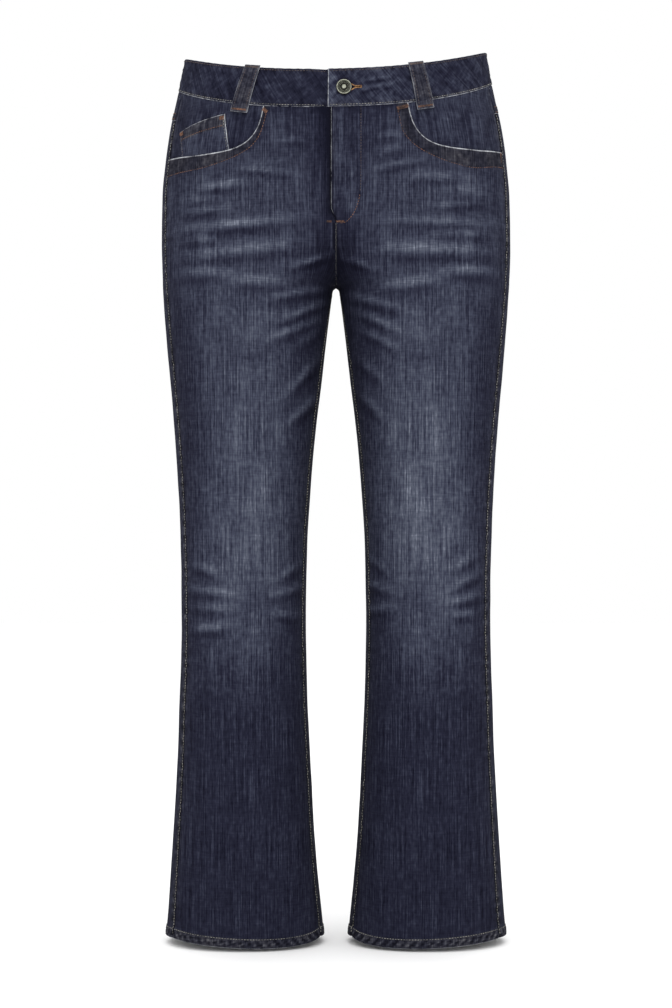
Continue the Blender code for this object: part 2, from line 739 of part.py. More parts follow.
def make_button():
    centre, out, across = band_frame(BUTTON_X, 0.5)
    wide = BUTTON_WIDE / 2
    back = BAND_PROUD - 2 * BAND_THICK - SEAM_GAP
    profile = (
        # radius, height
        (0.0045, back - 0.0013),
        (0.0045, back - 0.0004),
        (0.0019, back - 0.0004),
        (0.0019, BAND_PROUD + 0.0004),
        (wide - 0.0008, BAND_PROUD + 0.0004),
        (wide, BAND_PROUD + 0.0012),
        (wide, BAND_PROUD + 0.0022),
        (wide - 0.0010, BAND_PROUD + 0.0029),
        (wide - 0.0024, BAND_PROUD + 0.0029),
        (wide - 0.0031, BAND_PROUD + 0.0022),
        (0.0030, BAND_PROUD + 0.0025),
    )
    return turned("waist_button", centre, out, across, profile, METAL)


# ---------------------------------------------------------------- belt loops
def make_loop(name, top_angle, foot_angle):
    steps = 11
    shares = np.linspace(-LOOP_BELOW / BAND_SIDE, 1.035, steps)
    t = np.linspace(0.0, 1.0, steps)
    middle = np.radians(foot_angle + (top_angle - foot_angle) * t)
    across = np.linspace(-0.5, 0.5, 3)
    size = np.linalg.norm(band_point(np.radians([top_angle]), np.array([0.5]))[0][:2])
    a = middle[:, None] - across[None, :] * LOOP_WIDE / size
    s = np.broadcast_to(shares[:, None], a.shape)
    points = band_point(a, s)
    big_a = middle[:, None] - np.array([-1.0, -0.5, 0.0, 0.5, 1.0]) * LOOP_WIDE / size
    big_s = np.broadcast_to(shares[:, None], big_a.shape)
    n = normals_of(band_point(big_a, big_s), 1)[:, 1:-1]
    if (n * points * np.array([1.0, 1.0, 0.0])).sum() < 0:
        n = -n
    tops = np.interp(t, LOOP_STATIONS, LOOP_LIFTS)
    return layer(
        name, points, n, (tops + LOOP_THICK)[:, None], tops[:, None], DENIM_WORN
    )


# ---------------------------------------------------------------- pockets
def make_facing(side, name):
    """The cloth seen inside a front pocket's mouth."""
    u_all, z_all, corner = mouth_edge(side)
    reach = float(u_all[corner]) + 0.055
    u = np.concatenate([np.linspace(0.0, u_all[corner], 10), [reach]])
    high = on_seam("front", side, u) - SEAM_GAP
    low = np.interp(u, u_all[: corner + 1], z_all[: corner + 1]) - FACING_BELOW
    low[-3:] = np.minimum(low[-3:], low[-4] + 0.003)
    s = np.linspace(0, 1, 6)[:, None]
    zz = low[None, :] * (1 - s) + high[None, :] * s
    uu = np.broadcast_to(u, zz.shape)
    points, normals = laid("front", side, uu, zz)
    top = np.full(uu.shape, FACING_OUT)
    top[-1, :-3] = FACING_AT_SEAM
    top[2:, 0] = FACING_AT_SEAM
    return layer(name, points, normals, top, top - CLOTH, DENIM)


def make_coin():
    corner = {name: np.array([along_cloth, z]) for name, along_cloth, z in COIN}
    across = np.linspace(0, 1, 6)[None, :, None]
    up = np.linspace(0, 1, 5)[:, None, None]
    outer = corner["outer_foot"] * (1 - up) + corner["outer_top"] * up
    inner = corner["inner_foot"] * (1 - up) + corner["inner_top"] * up
    flat = outer * (1 - across) + inner * across
    height = flat[..., 1]
    u = u_for("front", -1, flat[..., 0], height)
    points, normals = laid("front", -1, u, height)
    low_side = FACING_OUT + SEAM_GAP + COIN_LIFT
    return layer("coin_pocket", points, normals, low_side + CLOTH, low_side, DENIM)


def make_back_pocket(side, name):
    across = np.linspace(-1, 1, 13)
    top = float(yoke_edge(side, np.array([BACK_POCKET_MIDDLE]))[0])
    downs = np.linspace(BACK_POCKET[0][0], BACK_POCKET[-1][0], 12)[::-1]
    halves = np.interp(downs, *np.array(BACK_POCKET).T)
    us, zs = [], []
    for down, half in zip(downs, halves):
        width = float(along("back", side, np.ones(1), np.array([top - down]))[0])
        us.append(BACK_POCKET_MIDDLE + across * half / width)
        zs.append(top - down + 0 * across)
    points, normals = laid("back", side, np.array(us), np.array(zs))
    low = np.linspace(BACK_POCKET_FOOT_LIFT, BACK_POCKET_LIFT, len(downs))[:, None]
    return layer(name, points, normals, low + CLOTH, low, DENIM)


# ---------------------------------------------------------------- fly
def front_strip(x_low, x_high, z_low, count, rows):
    """A grid across the centre front, from z_low up to the waist seam."""
    xs = np.linspace(x_low, x_high, count)
    angles = np.array([angle_for_x(x, -0.12) for x in xs])
    high = np.full(count, -0.07)
    for _ in range(4):
        high = waist_seam(ring(angles, high))
    high = high - 3 * SEAM_GAP
    s = np.linspace(0, 1, rows)[:, None]
    zz = z_low + (high[None, :] - z_low) * s
    aa = np.broadcast_to(angles, zz.shape)
    points = ring(aa, zz)
    n = normals_of(points, 1)
    if (n * points * np.array([1.0, 1.0, 0.0])).sum() < 0:
        n = -n
    return points, n


def make_fly():
    """The zip's tape with its chain raised, the shield behind it, and the slider."""
    points, n = front_strip(-ZIP_HALF, ZIP_HALF, FLY_FOOT + ZIP_UP, 8, 8)
    top = np.array([ZIP_OUT] * 3 + [ZIP_CHAIN] * 2 + [ZIP_OUT] * 3)
    wide = np.abs(np.arange(8) - 3.5) < 1
    rows = np.arange(8)[:, None]
    top = np.where(wide[None, :] & (rows < 6), top[None, :], ZIP_OUT)
    layer("fly_zip", points, n, top, ZIP_OUT - CLOTH, TAPE)
    points, n = front_strip(SHIELD_RIGHT, SHIELD_LEFT, FLY_FOOT + SHIELD_UP, 8, 8)
    shield_top = ZIP_OUT - CLOTH - SEAM_GAP
    layer("fly_shield", points, n, shield_top, shield_top - CLOTH, DENIM)
    slider, n = front_strip(-SLIDER_HALF, SLIDER_HALF, FLY_FOOT + ZIP_UP, 3, 40)
    picked = slice(33, 37)
    layer("zip_slider", slider[picked], n[picked], SLIDER_TOP, SLIDER_FOOT, METAL)


# ---------------------------------------------------------------- build
for old in list(bpy.data.objects):
    bpy.data.objects.remove(old, do_unlink=True)

for side, hand in ((1, "left"), (-1, "right")):
    make_front(side, f"front_{hand}")
    make_back(side, f"back_{hand}")
    make_yoke(side, f"yoke_{hand}")
    make_facing(side, f"facing_{hand}")
    make_back_pocket(side, f"back_pocket_{hand}")
make_coin()
make_fly()
make_band()
make_button()
for loop in LOOPS:
    make_loop(*loop)
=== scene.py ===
# %% [markdown]
# # Bootcut jeans, filled out as if worn
#
# A pair of five-pocket jeans is about twenty flat pieces of denim, sewn into two tubes
# and held by a band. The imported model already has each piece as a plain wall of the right
# size. Here every piece is laid again on the same measured body, finely enough to carry
# its creases, puckers, hems and stitches, and then gets its dye, its wear and its light.

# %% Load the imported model
import json
import math

import bpy
import numpy as np
from mathutils import Matrix, Vector
from mathutils.bvhtree import BVHTree

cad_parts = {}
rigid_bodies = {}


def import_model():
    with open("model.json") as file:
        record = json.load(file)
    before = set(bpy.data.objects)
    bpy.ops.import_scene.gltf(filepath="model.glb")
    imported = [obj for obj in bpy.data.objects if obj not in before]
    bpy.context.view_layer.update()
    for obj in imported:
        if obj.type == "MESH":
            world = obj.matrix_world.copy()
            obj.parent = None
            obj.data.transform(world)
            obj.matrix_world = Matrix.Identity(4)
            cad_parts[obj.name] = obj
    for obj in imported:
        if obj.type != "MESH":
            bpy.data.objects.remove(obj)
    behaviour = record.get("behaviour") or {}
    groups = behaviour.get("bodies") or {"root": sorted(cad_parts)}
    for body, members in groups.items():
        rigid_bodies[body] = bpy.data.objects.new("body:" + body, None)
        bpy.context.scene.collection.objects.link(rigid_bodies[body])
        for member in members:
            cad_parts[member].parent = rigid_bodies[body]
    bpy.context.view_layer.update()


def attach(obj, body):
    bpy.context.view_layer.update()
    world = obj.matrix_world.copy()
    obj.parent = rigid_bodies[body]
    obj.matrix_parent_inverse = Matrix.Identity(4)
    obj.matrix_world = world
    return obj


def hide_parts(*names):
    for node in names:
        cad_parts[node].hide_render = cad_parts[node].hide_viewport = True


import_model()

# %% [markdown]
# ## The camera first
#
# A catalogue picture like this one is taken level, from a few metres away, with a lens
# long enough to keep the legs straight. The camera is placed before anything else.

# %% Camera
CAMERA_AWAY, CAMERA_HIGH = 2.6, -0.51405
PICTURE_TALL, PIXEL = 1008, 0.00115
SENSOR = 36.0
camera = bpy.data.cameras.new("camera")
camera.sensor_width = SENSOR
camera.lens = SENSOR * CAMERA_AWAY / (PICTURE_TALL * PIXEL)
camera_stand = bpy.data.objects.new("camera", camera)
camera_stand.location = (0.0, -CAMERA_AWAY, CAMERA_HIGH)
camera_stand.rotation_euler = (math.pi / 2, 0.0, 0.0)
bpy.context.scene.collection.objects.link(camera_stand)
bpy.context.scene.camera = camera_stand
print("lens", round(camera.lens, 2), "mm")

# %% [markdown]
# ## The body that fills the cloth
#
# Nobody wears these jeans, yet they stand open as if somebody did. The shape is a stack
# of rounded sections: one ring round both hips, which parts at the crotch into two. The
# rows below are the model's own measures. They are joined by a curve that never
# overshoots, because straight runs between rows would show as bands in a smooth surface.

# %% Measures of the body
CROTCH = -0.2645
BODY = np.array([
    # height, outer, inner, front, back, middle, power
    (0.0400, 0.1680, 0.0000, 0.0960, 0.0940, 0.000, 2.10),
    (0.0000, 0.1727, 0.0000, 0.0990, 0.0980, 0.000, 2.10),
    (-0.0150, 0.1749, 0.0000, 0.1010, 0.1000, 0.000, 2.12),
    (-0.0380, 0.1797, 0.0000, 0.1045, 0.1040, 0.000, 2.15),
    (-0.0564, 0.1837, 0.0000, 0.1070, 0.1085, 0.000, 2.20),
    (-0.0840, 0.1899, 0.0000, 0.1100, 0.1150, 0.000, 2.25),
    (-0.1185, 0.1951, 0.0000, 0.1120, 0.1240, 0.001, 2.30),
    (-0.1645, 0.1993, 0.0000, 0.1120, 0.1320, 0.003, 2.35),
    (-0.2105, 0.2001, 0.0000, 0.1090, 0.1330, 0.004, 2.40),
    (-0.2450, 0.1995, 0.0000, 0.1040, 0.1290, 0.004, 2.40),
    (-0.2645, 0.1987, 0.0000, 0.1010, 0.1250, 0.003, 2.40),
    (-0.2651, 0.1987, 0.0014, 0.1009, 0.1249, 0.003, 2.40),
    (-0.2662, 0.1986, 0.0026, 0.1007, 0.1246, 0.003, 2.39),
    (-0.2685, 0.1985, 0.0038, 0.1003, 0.1240, 0.003, 2.38),
    (-0.2795, 0.1978, 0.0052, 0.0985, 0.1205, 0.002, 2.34),
    (-0.3025, 0.1962, 0.0081, 0.0950, 0.1150, 0.001, 2.28),
    (-0.3255, 0.1944, 0.0109, 0.0920, 0.1100, 0.000, 2.24),
    (-0.3715, 0.1903, 0.0161, 0.0870, 0.1010, -0.001, 2.18),
    (-0.4175, 0.1863, 0.0219, 0.0830, 0.0930, -0.002, 2.14),
    (-0.4635, 0.1829, 0.0265, 0.0790, 0.0860, -0.003, 2.10),
    (-0.5095, 0.1800, 0.0299, 0.0755, 0.0790, -0.004, 2.10),
    (-0.5555, 0.1783, 0.0328, 0.0725, 0.0735, -0.005, 2.10),
    (-0.6015, 0.1772, 0.0339, 0.0705, 0.0690, -0.006, 2.10),
    (-0.6475, 0.1769, 0.0345, 0.0690, 0.0665, -0.005, 2.10),
    (-0.6935, 0.1778, 0.0339, 0.0670, 0.0680, -0.003, 2.10),
    (-0.7395, 0.1799, 0.0328, 0.0655, 0.0710, 0.000, 2.10),
    (-0.7855, 0.1813, 0.0305, 0.0645, 0.0725, 0.002, 2.10),
    (-0.8315, 0.1836, 0.0282, 0.0640, 0.0730, 0.003, 2.10),
    (-0.8775, 0.1863, 0.0259, 0.0640, 0.0725, 0.003, 2.10),
    (-0.9235, 0.1892, 0.0224, 0.0642, 0.0715, 0.002, 2.10),
    (-0.9695, 0.1921, 0.0178, 0.0646, 0.0705, 0.001, 2.10),
    (-1.0040, 0.1949, 0.0144, 0.0650, 0.0700, 0.000, 2.10),
    (-1.0400, 0.1975, 0.0110, 0.0652, 0.0695, 0.000, 2.10),
])
RISE = np.array([
    # above_crotch, front_share, back_share
    (0.000, 1.00, 1.00),
    (0.006, 0.94, 0.955),
    (0.011, 0.89, 0.920),
    (0.018, 0.81, 0.870),
    (0.027, 0.71, 0.800),
    (0.038, 0.56, 0.710),
    (0.052, 0.34, 0.580),
    (0.065, 0.15, 0.450),
    (0.080, 0.04, 0.300),
    (0.095, 0.00, 0.170),
    (0.120, 0.00, 0.050),
    (0.150, 0.00, 0.000),
    (0.400, 0.00, 0.000),
])
SEAMS = np.array([
    # height, outseam_in, inseam_in
    (0.0400, 0.0055, 0.0000),
    (-0.1185, 0.0065, 0.0000),
    (-0.2645, 0.0075, 0.0000),
    (-0.3025, 0.0078, 0.0010),
    (-0.3715, 0.0080, 0.0030),
    (-0.8315, 0.0085, 0.0040),
    (-1.0400, 0.0105, 0.0042),
])
print(len(BODY), "rows of measures")

# %% Small curves
def smooth(t):
    """0 below 0, 1 above 1 and an even rise between."""
    t = np.clip(t, 0.0, 1.0)
    return t * t * (3 - 2 * t)


def hill(distance, half, power=2):
    """1 where the distance is 0, falling away evenly on both sides."""
    return np.exp(-((distance / half) ** power))


def rolled(distance, reach):
    """1 on an edge and 0 from this far in, the way a folded edge rounds off."""
    return np.clip(1 - distance / reach, 0, 1) ** 2


def turns(distance, pitch):
    """The angle that a wave of this pitch has reached."""
    return 2 * math.pi * distance / pitch


def run_along(points):
    """How far along a line each of its points lies."""
    return np.insert(np.cumsum(np.linalg.norm(np.diff(points, axis=0), axis=1)), 0, 0)


def through(xs, ys, at):
    """A curve through the points that never overshoots them."""
    step, rise = np.diff(xs), np.diff(ys) / np.diff(xs)
    slope = np.zeros(len(xs))
    same = rise[:-1] * rise[1:] > 0
    a, b = 2 * step[1:] + step[:-1], step[1:] + 2 * step[:-1]
    before, after = rise[:-1][same], rise[1:][same]
    slope[1:-1][same] = (a + b)[same] / (a[same] / before + b[same] / after)
    slope[0], slope[-1] = rise[0], rise[-1]
    k = np.clip(np.searchsorted(xs, at) - 1, 0, len(step) - 1)
    t = np.clip((at - xs[k]) / step[k], 0.0, 1.0)
    s = 1 - t
    ends = ys[k] * s * s * (1 + 2 * t) + ys[k + 1] * t * t * (3 - 2 * t)
    return ends + step[k] * t * s * (slope[k] * s - slope[k + 1] * t)


print("a soft step a quarter of the way along is", smooth(0.25))

# %% The body at any height
def column(table, z, index):
    """One column of a table of heights, read at any height."""
    return through(table[::-1, 0], table[::-1, index], z)


def level(z):
    """Widths and depths of the body at each height."""
    outer, inner, front, back, middle, power = (column(BODY, z, i) for i in range(1, 7))
    above = np.maximum(z - CROTCH, 0.0)
    spans = []
    for i in (1, 2):
        share = through(RISE[:, 0], RISE[:, i], above)
        half = np.where(z > CROTCH, outer / (1 + share), (outer - inner) / 2)
        spans.append((outer - half, half))
    return outer, spans[0], spans[1], front, back, middle, power


def radius(angle, wide, deep, power):
    """How far a rounded section reaches at an angle."""
    c, s = np.abs(np.cos(angle)), np.abs(np.sin(angle))
    return ((c / wide) ** power + (s / deep) ** power) ** (-1.0 / power)


def angle_at(share, wide, deep, power):
    """The angle of the point this share of the way out."""
    share = np.clip(share, -1.0, 1.0)
    depth = deep * (1 - np.abs(share) ** power) ** (1.0 / power)
    return np.arctan2(depth, share * wide)


print("hips", 2 * round(level(np.array([-0.21]))[0][0] * 1000), "mm wide")

# %% [markdown]
# ## A chart for each piece of cloth
#
# A sewer thinks in distances along the cloth, not in angles. So each leg piece gets a
# chart: for every height, the points at nearly equal steps along the cloth from the
# outseam to the inseam or centre seam. Heights are packed closely at the crotch, where
# the shape turns fastest. Reading the chart with a smooth curve places anything anywhere.

# %% Charts of the leg pieces
FLY_SHIFT, FLY_FOOT, FLY_BLEND = -0.0055, -0.2020, 0.0160
LEVEL_STEP, LEVEL_SPREAD = 0.0004, 0.1
U_STEP, U_BEYOND = 0.005, 0.05
U_STEPS = np.arange(-U_BEYOND, 1 + U_BEYOND + U_STEP / 2, U_STEP)
MOST_EASE, EASE_FADES = 0.35, 0.08
CHART_SAMPLES, CHART_BEYOND = 280, 0.06


def level_index(z):
    """Where a height lies among the levels, which crowd at the crotch."""
    return np.arcsinh((z - CROTCH) / LEVEL_SPREAD) * LEVEL_SPREAD / LEVEL_STEP


LOWEST, HIGHEST = (int(level_index(z)) for z in (-1.035, 0.035))
LEVELS = CROTCH + LEVEL_SPREAD * np.sinh(
    np.arange(LOWEST, HIGHEST + 1) * LEVEL_STEP / LEVEL_SPREAD
)


def widest_run(face):
    """The length of cloth from outseam to crotch point, at the crotch."""
    _, (_, half), _, front, back, _, power = level(np.array([CROTCH]))
    start = angle_at(1 - column(SEAMS, CROTCH, 1) / half, half, front, power)
    a = np.linspace(start[0], math.pi if face == "front" else -math.pi, 400)
    r = radius(a, half, np.where(a > 0, front, back), power)
    return float(np.hypot(np.diff(r * np.cos(a)), np.diff(r * np.sin(a))).sum())


def chart(face, side):
    """Points at nearly equal steps along the cloth for every level, and their distances."""
    z = LEVELS
    _, (fx, fw), (bx, bw), front, back, middle, power = level(z)
    start = angle_at(1 - column(SEAMS, z, 1) / fw, fw, front, power)
    inseam = angle_at(-1 + column(SEAMS, z, 2) / fw, fw, front, power)
    cut = FLY_SHIFT * smooth((z - FLY_FOOT) / FLY_BLEND) * side
    if face == "front":
        centre = angle_at((cut - fx) / fw, fw, front, power)
    else:
        centre, inseam = -angle_at(-bx / bw, bw, back, power), inseam - 2 * math.pi
    stop = np.where(z > CROTCH, centre, inseam)
    t = np.linspace(-CHART_BEYOND, 1 + CHART_BEYOND, CHART_SAMPLES)[None, :]
    a = start[:, None] + (stop - start)[:, None] * t
    a = np.where(a < -math.pi, a + 2 * math.pi, a)
    ahead = a > 0
    wide, deep = (
        np.where(ahead, f[:, None], b[:, None]) for f, b in ((fw, bw), (front, back))
    )
    r = radius(a, wide, deep, power[:, None])
    x = np.where(ahead, fx[:, None], bx[:, None]) + r * np.cos(a)
    y = middle[:, None] - r * np.sin(a)
    step = np.hypot(np.diff(x, axis=1), np.diff(y, axis=1))
    run = np.concatenate([np.zeros((len(z), 1)), np.cumsum(step, axis=1)], axis=1)
    # above the crotch the steps ease into those of the widest level, to keep columns smooth
    ease = np.where(z > CROTCH, np.exp(-(z - CROTCH) / EASE_FADES), 1.0)
    crotch_run = widest_run(face)
    points = np.empty((len(z), len(U_STEPS), 3))
    inside = np.clip(U_STEPS, 0.0, 1.0)
    for k in range(len(z)):
        begin, end = np.interp([0.0, 1.0], t[0], run[k])
        full = end - begin
        wanted = full + min((crotch_run - full) * ease[k], MOST_EASE * full)
        s = inside * wanted - (wanted - full) * inside**3 + (U_STEPS - inside) * full
        points[k, :, 0] = side * np.interp(begin + s, run[k], x[k])
        points[k, :, 1] = np.interp(begin + s, run[k], y[k])
        points[k, :, 2] = s
    return points


CHARTS = {(f, s): chart(f, s) for f in ("front", "back") for s in (1, -1)}
print(len(LEVELS), "levels in each chart")

# %% Places read from a chart
NEAR_U, NEAR_Z = 0.004, 0.0012
GRAIN_OUT = 0.105


def weights(t):
    """How much each of four neighbours counts, on a smooth curve through them."""
    return np.array([
        -0.5 * t + t**2 - 0.5 * t**3,
        1 - 2.5 * t**2 + 1.5 * t**3,
        0.5 * t + 2 * t**2 - 1.5 * t**3,
        -0.5 * t**2 + 0.5 * t**3,
    ])


def place(face, side, u, z):
    """Points of a leg piece, and how far each lies along the cloth from the outseam."""
    table = CHARTS[face, side]
    i, k = (u + U_BEYOND) / U_STEP, level_index(z) - LOWEST
    i0 = np.clip(np.floor(i).astype(int), 1, table.shape[1] - 3)
    k0 = np.clip(np.floor(k).astype(int), 1, table.shape[0] - 3)
    across, up = weights(i - i0), weights(k - k0)
    found = np.zeros(np.shape(u) + (3,))
    for b in range(4):
        for a in range(4):
            share = across[a] * up[b]
            found += table[k0 + b - 1, i0 + a - 1] * share[..., None]
    points = np.stack([found[..., 0], found[..., 1], z], axis=-1)
    return points, found[..., 2]


def unit(v):
    """Every vector at length 1."""
    return v / np.maximum(np.linalg.norm(v, axis=-1, keepdims=True), 1e-12)


def outward(face, side, u, z):
    """The direction that points out of the cloth."""
    du = place(face, side, u + NEAR_U, z)[0] - place(face, side, u - NEAR_U, z)[0]
    dz = place(face, side, u, z + NEAR_Z)[0] - place(face, side, u, z - NEAR_Z)[0]
    return unit(np.cross(du, dz)) * (-side if face == "front" else side)


def spot_on(face, side, u, z):
    """Points of a leg piece, and the way out of the cloth at each."""
    return place(face, side, u, z)[0], outward(face, side, u, z)


def full_run(face, side, z):
    """How far it is along the cloth from the outseam to the centre seam or inseam."""
    return place(face, side, np.ones(np.shape(z)), z)[1]


def u_at(face, side, z, across, least=0.0, most=1.0):
    """The u at which a piece stands this far out from the centre plane."""
    u = np.full(z.shape, 0.5)
    for _ in range(12):
        points, _ = place(face, side, u, z)
        ahead, _ = place(face, side, u + 0.01, z)
        slope = side * (ahead[..., 0] - points[..., 0]) / 0.01
        u = np.clip(u + (across - side * points[..., 0]) / np.minimum(slope, -0.05), least, most)
    return u


def grain(face, side, z):
    """How far along the cloth its grain line lies: it hangs straight down each leg."""
    return place(face, side, u_at(face, side, z, GRAIN_OUT, 0.2, 0.8), z)[1]


def u_for(face, side, distance, z):
    """The u that lies this far along the cloth from the outseam."""
    distance, z = np.broadcast_arrays(np.asarray(distance, float), z)
    u = distance / 0.25
    # the first guess is a typical width, and each round corrects it by the error left
    for _ in range(5):
        u = u * distance / np.maximum(place(face, side, u, z)[1], 1e-6)
    return u


hem_girth = sum(place(f, 1, np.ones(1), np.full(1, -1.0))[1][0] for f in ("front", "back"))
print("girth at the hem", round(hem_girth * 1000), "mm")

# %% [markdown]
# ## Where the edges run
#
# Five edges decide what a pair of jeans looks like: the waist seam, the scooped pocket
# mouths, the yoke seam, the fly and the hem. Each is a short list of points along the
# cloth, or a formula, and every stitch line is a distance from one of them.

# %% Waist, mouths, yoke and hem
BAND_SIDE, BAND_FRONT_MORE = 0.0365, 0.0040
WAIST_FRONT_DROP, WAIST_FRONT_DEPTH, WAIST_DROP_POWER = 0.0330, 0.104, 1.50
WAIST_BACK_RISE, WAIST_TILT = 0.0040, 0.0215
HEM_SIDE, HEM_FRONT_DIP, HEM_BACK_DIP, HEM_TALL = -1.0070, 0.0066, 0.0030, 0.0120
YOKE_SIDE, YOKE_BACK = 0.0320, 0.0620
MOUTH = np.array([
    # along_cloth, height
    (0.0000, -0.1195),
    (0.0240, -0.1205),
    (0.0500, -0.1215),
    (0.0750, -0.1207),
    (0.0950, -0.1183),
    (0.1080, -0.1138),
    (0.1165, -0.1075),
    (0.1220, -0.0995),
    (0.1252, -0.0900),
    (0.1262, -0.0800),
    (0.1262, -0.0700),
])
MOUTH_POINTS, MOUTH_STITCH_POINTS = 70, 60


def waist_top(point):
    """The height of the band's top edge: low in front, and tilted a little."""
    x, y = point[..., 0], point[..., 1]
    ahead = np.clip(-y / WAIST_FRONT_DEPTH, 0.0, None) ** WAIST_DROP_POWER
    behind = np.clip(y / WAIST_FRONT_DEPTH, 0.0, None)
    return -WAIST_FRONT_DROP * ahead + WAIST_BACK_RISE * behind + WAIST_TILT * x


def waist_seam(point):
    """The height of the seam between the band and the legs."""
    ahead = np.clip(-point[..., 1] / WAIST_FRONT_DEPTH, 0.0, 1.0)
    return waist_top(point) - BAND_SIDE - BAND_FRONT_MORE * ahead


def on_seam(face, side, u):
    """The waist seam's height along a piece."""
    z = np.full(np.shape(u), -0.05)
    for _ in range(5):
        z = waist_seam(place(face, side, u, z)[0])
    return z


def yoke_edge(side, u):
    """The height of a yoke's lower edge, deepest at the centre back."""
    rise = YOKE_SIDE + (YOKE_BACK - YOKE_SIDE) * np.clip(u, 0, 1) ** 1.1
    return on_seam("back", side, u) - rise


def hem_height(face, u):
    """The height of a hem, which dips in the middle of each leg piece."""
    dip = HEM_FRONT_DIP if face == "front" else HEM_BACK_DIP
    return HEM_SIDE - dip * np.sin(math.pi * np.clip(u, 0, 1))


print("the yoke is", YOKE_BACK * 1000, "mm deep at the centre back")

# %% Pocket mouths and their stitches
def rounded(points, count):
    """The points joined by a smooth curve, at equal steps along it."""
    points = np.asarray(points, float)
    run = run_along(points)
    at = np.linspace(0, run[-1], count)
    return np.stack([through(run, p, at) for p in points.T], axis=-1)


def mouth_line(side):
    """A pocket mouth as (distance along the cloth, height), from outseam to waist."""
    tilt = WAIST_TILT * side * np.interp(MOUTH[:, 0], [0.0, 0.13], [0.188, 0.080])
    heights = MOUTH[:, 1] + tilt
    corner = u_for("front", side, MOUTH[-1:, 0], np.array([-0.075]))
    top = on_seam("front", side, corner)[0]
    low = heights.min()
    heights = low + (heights - low) * (top - low) / (heights[-1] - low)
    return rounded(np.stack([MOUTH[:, 0], heights], axis=-1), MOUTH_POINTS)


MOUTHS = {side: mouth_line(side) for side in (1, -1)}
# The second line of stitches below each mouth, as (distance along the cloth, height).
MOUTH_STITCH = {
    -1: [(0.0, -0.1430), (0.020, -0.1422), (0.0573, -0.1400), (0.0880, -0.1335)]
    + [(0.1101, -0.1248), (0.1230, -0.1150), (0.1292, -0.1020), (0.1322, -0.0778)],
    1: [(0.0, -0.1330), (0.023, -0.1347), (0.0568, -0.1386), (0.0816, -0.1354)]
    + [(0.1073, -0.1276), (0.1295, -0.1143), (0.1388, -0.0991), (0.1402, -0.0740)],
}
MOUTH_STITCH = {s: rounded(line, MOUTH_STITCH_POINTS) for s, line in MOUTH_STITCH.items()}


def nearest(line, across, up):
    """Distance to a line in the flat, place along it, and on which side of it."""
    shape, best = np.shape(across), np.full(np.size(across), 9.0)
    p = np.stack([np.ravel(across), np.ravel(up)], axis=-1)
    run, turn, gone = np.zeros(len(p)), np.ones(len(p)), 0.0
    for a, b in zip(line[:-1], line[1:]):
        along, length = b - a, np.linalg.norm(b - a)
        t = np.clip((p - a) @ along / length**2, 0.0, 1.0)
        off = p - a - t[:, None] * along
        far = np.linalg.norm(off, axis=1)
        hit = far < best
        best[hit], run[hit] = far[hit], (gone + t * length)[hit]
        turn[hit] = np.sign(along[0] * off[:, 1] - along[1] * off[:, 0])[hit]
        gone += length
    return best.reshape(shape), run.reshape(shape), turn.reshape(shape)


print("pocket mouths", [round(float(m[-1, 0]) * 1000) for m in MOUTHS.values()], "mm in")
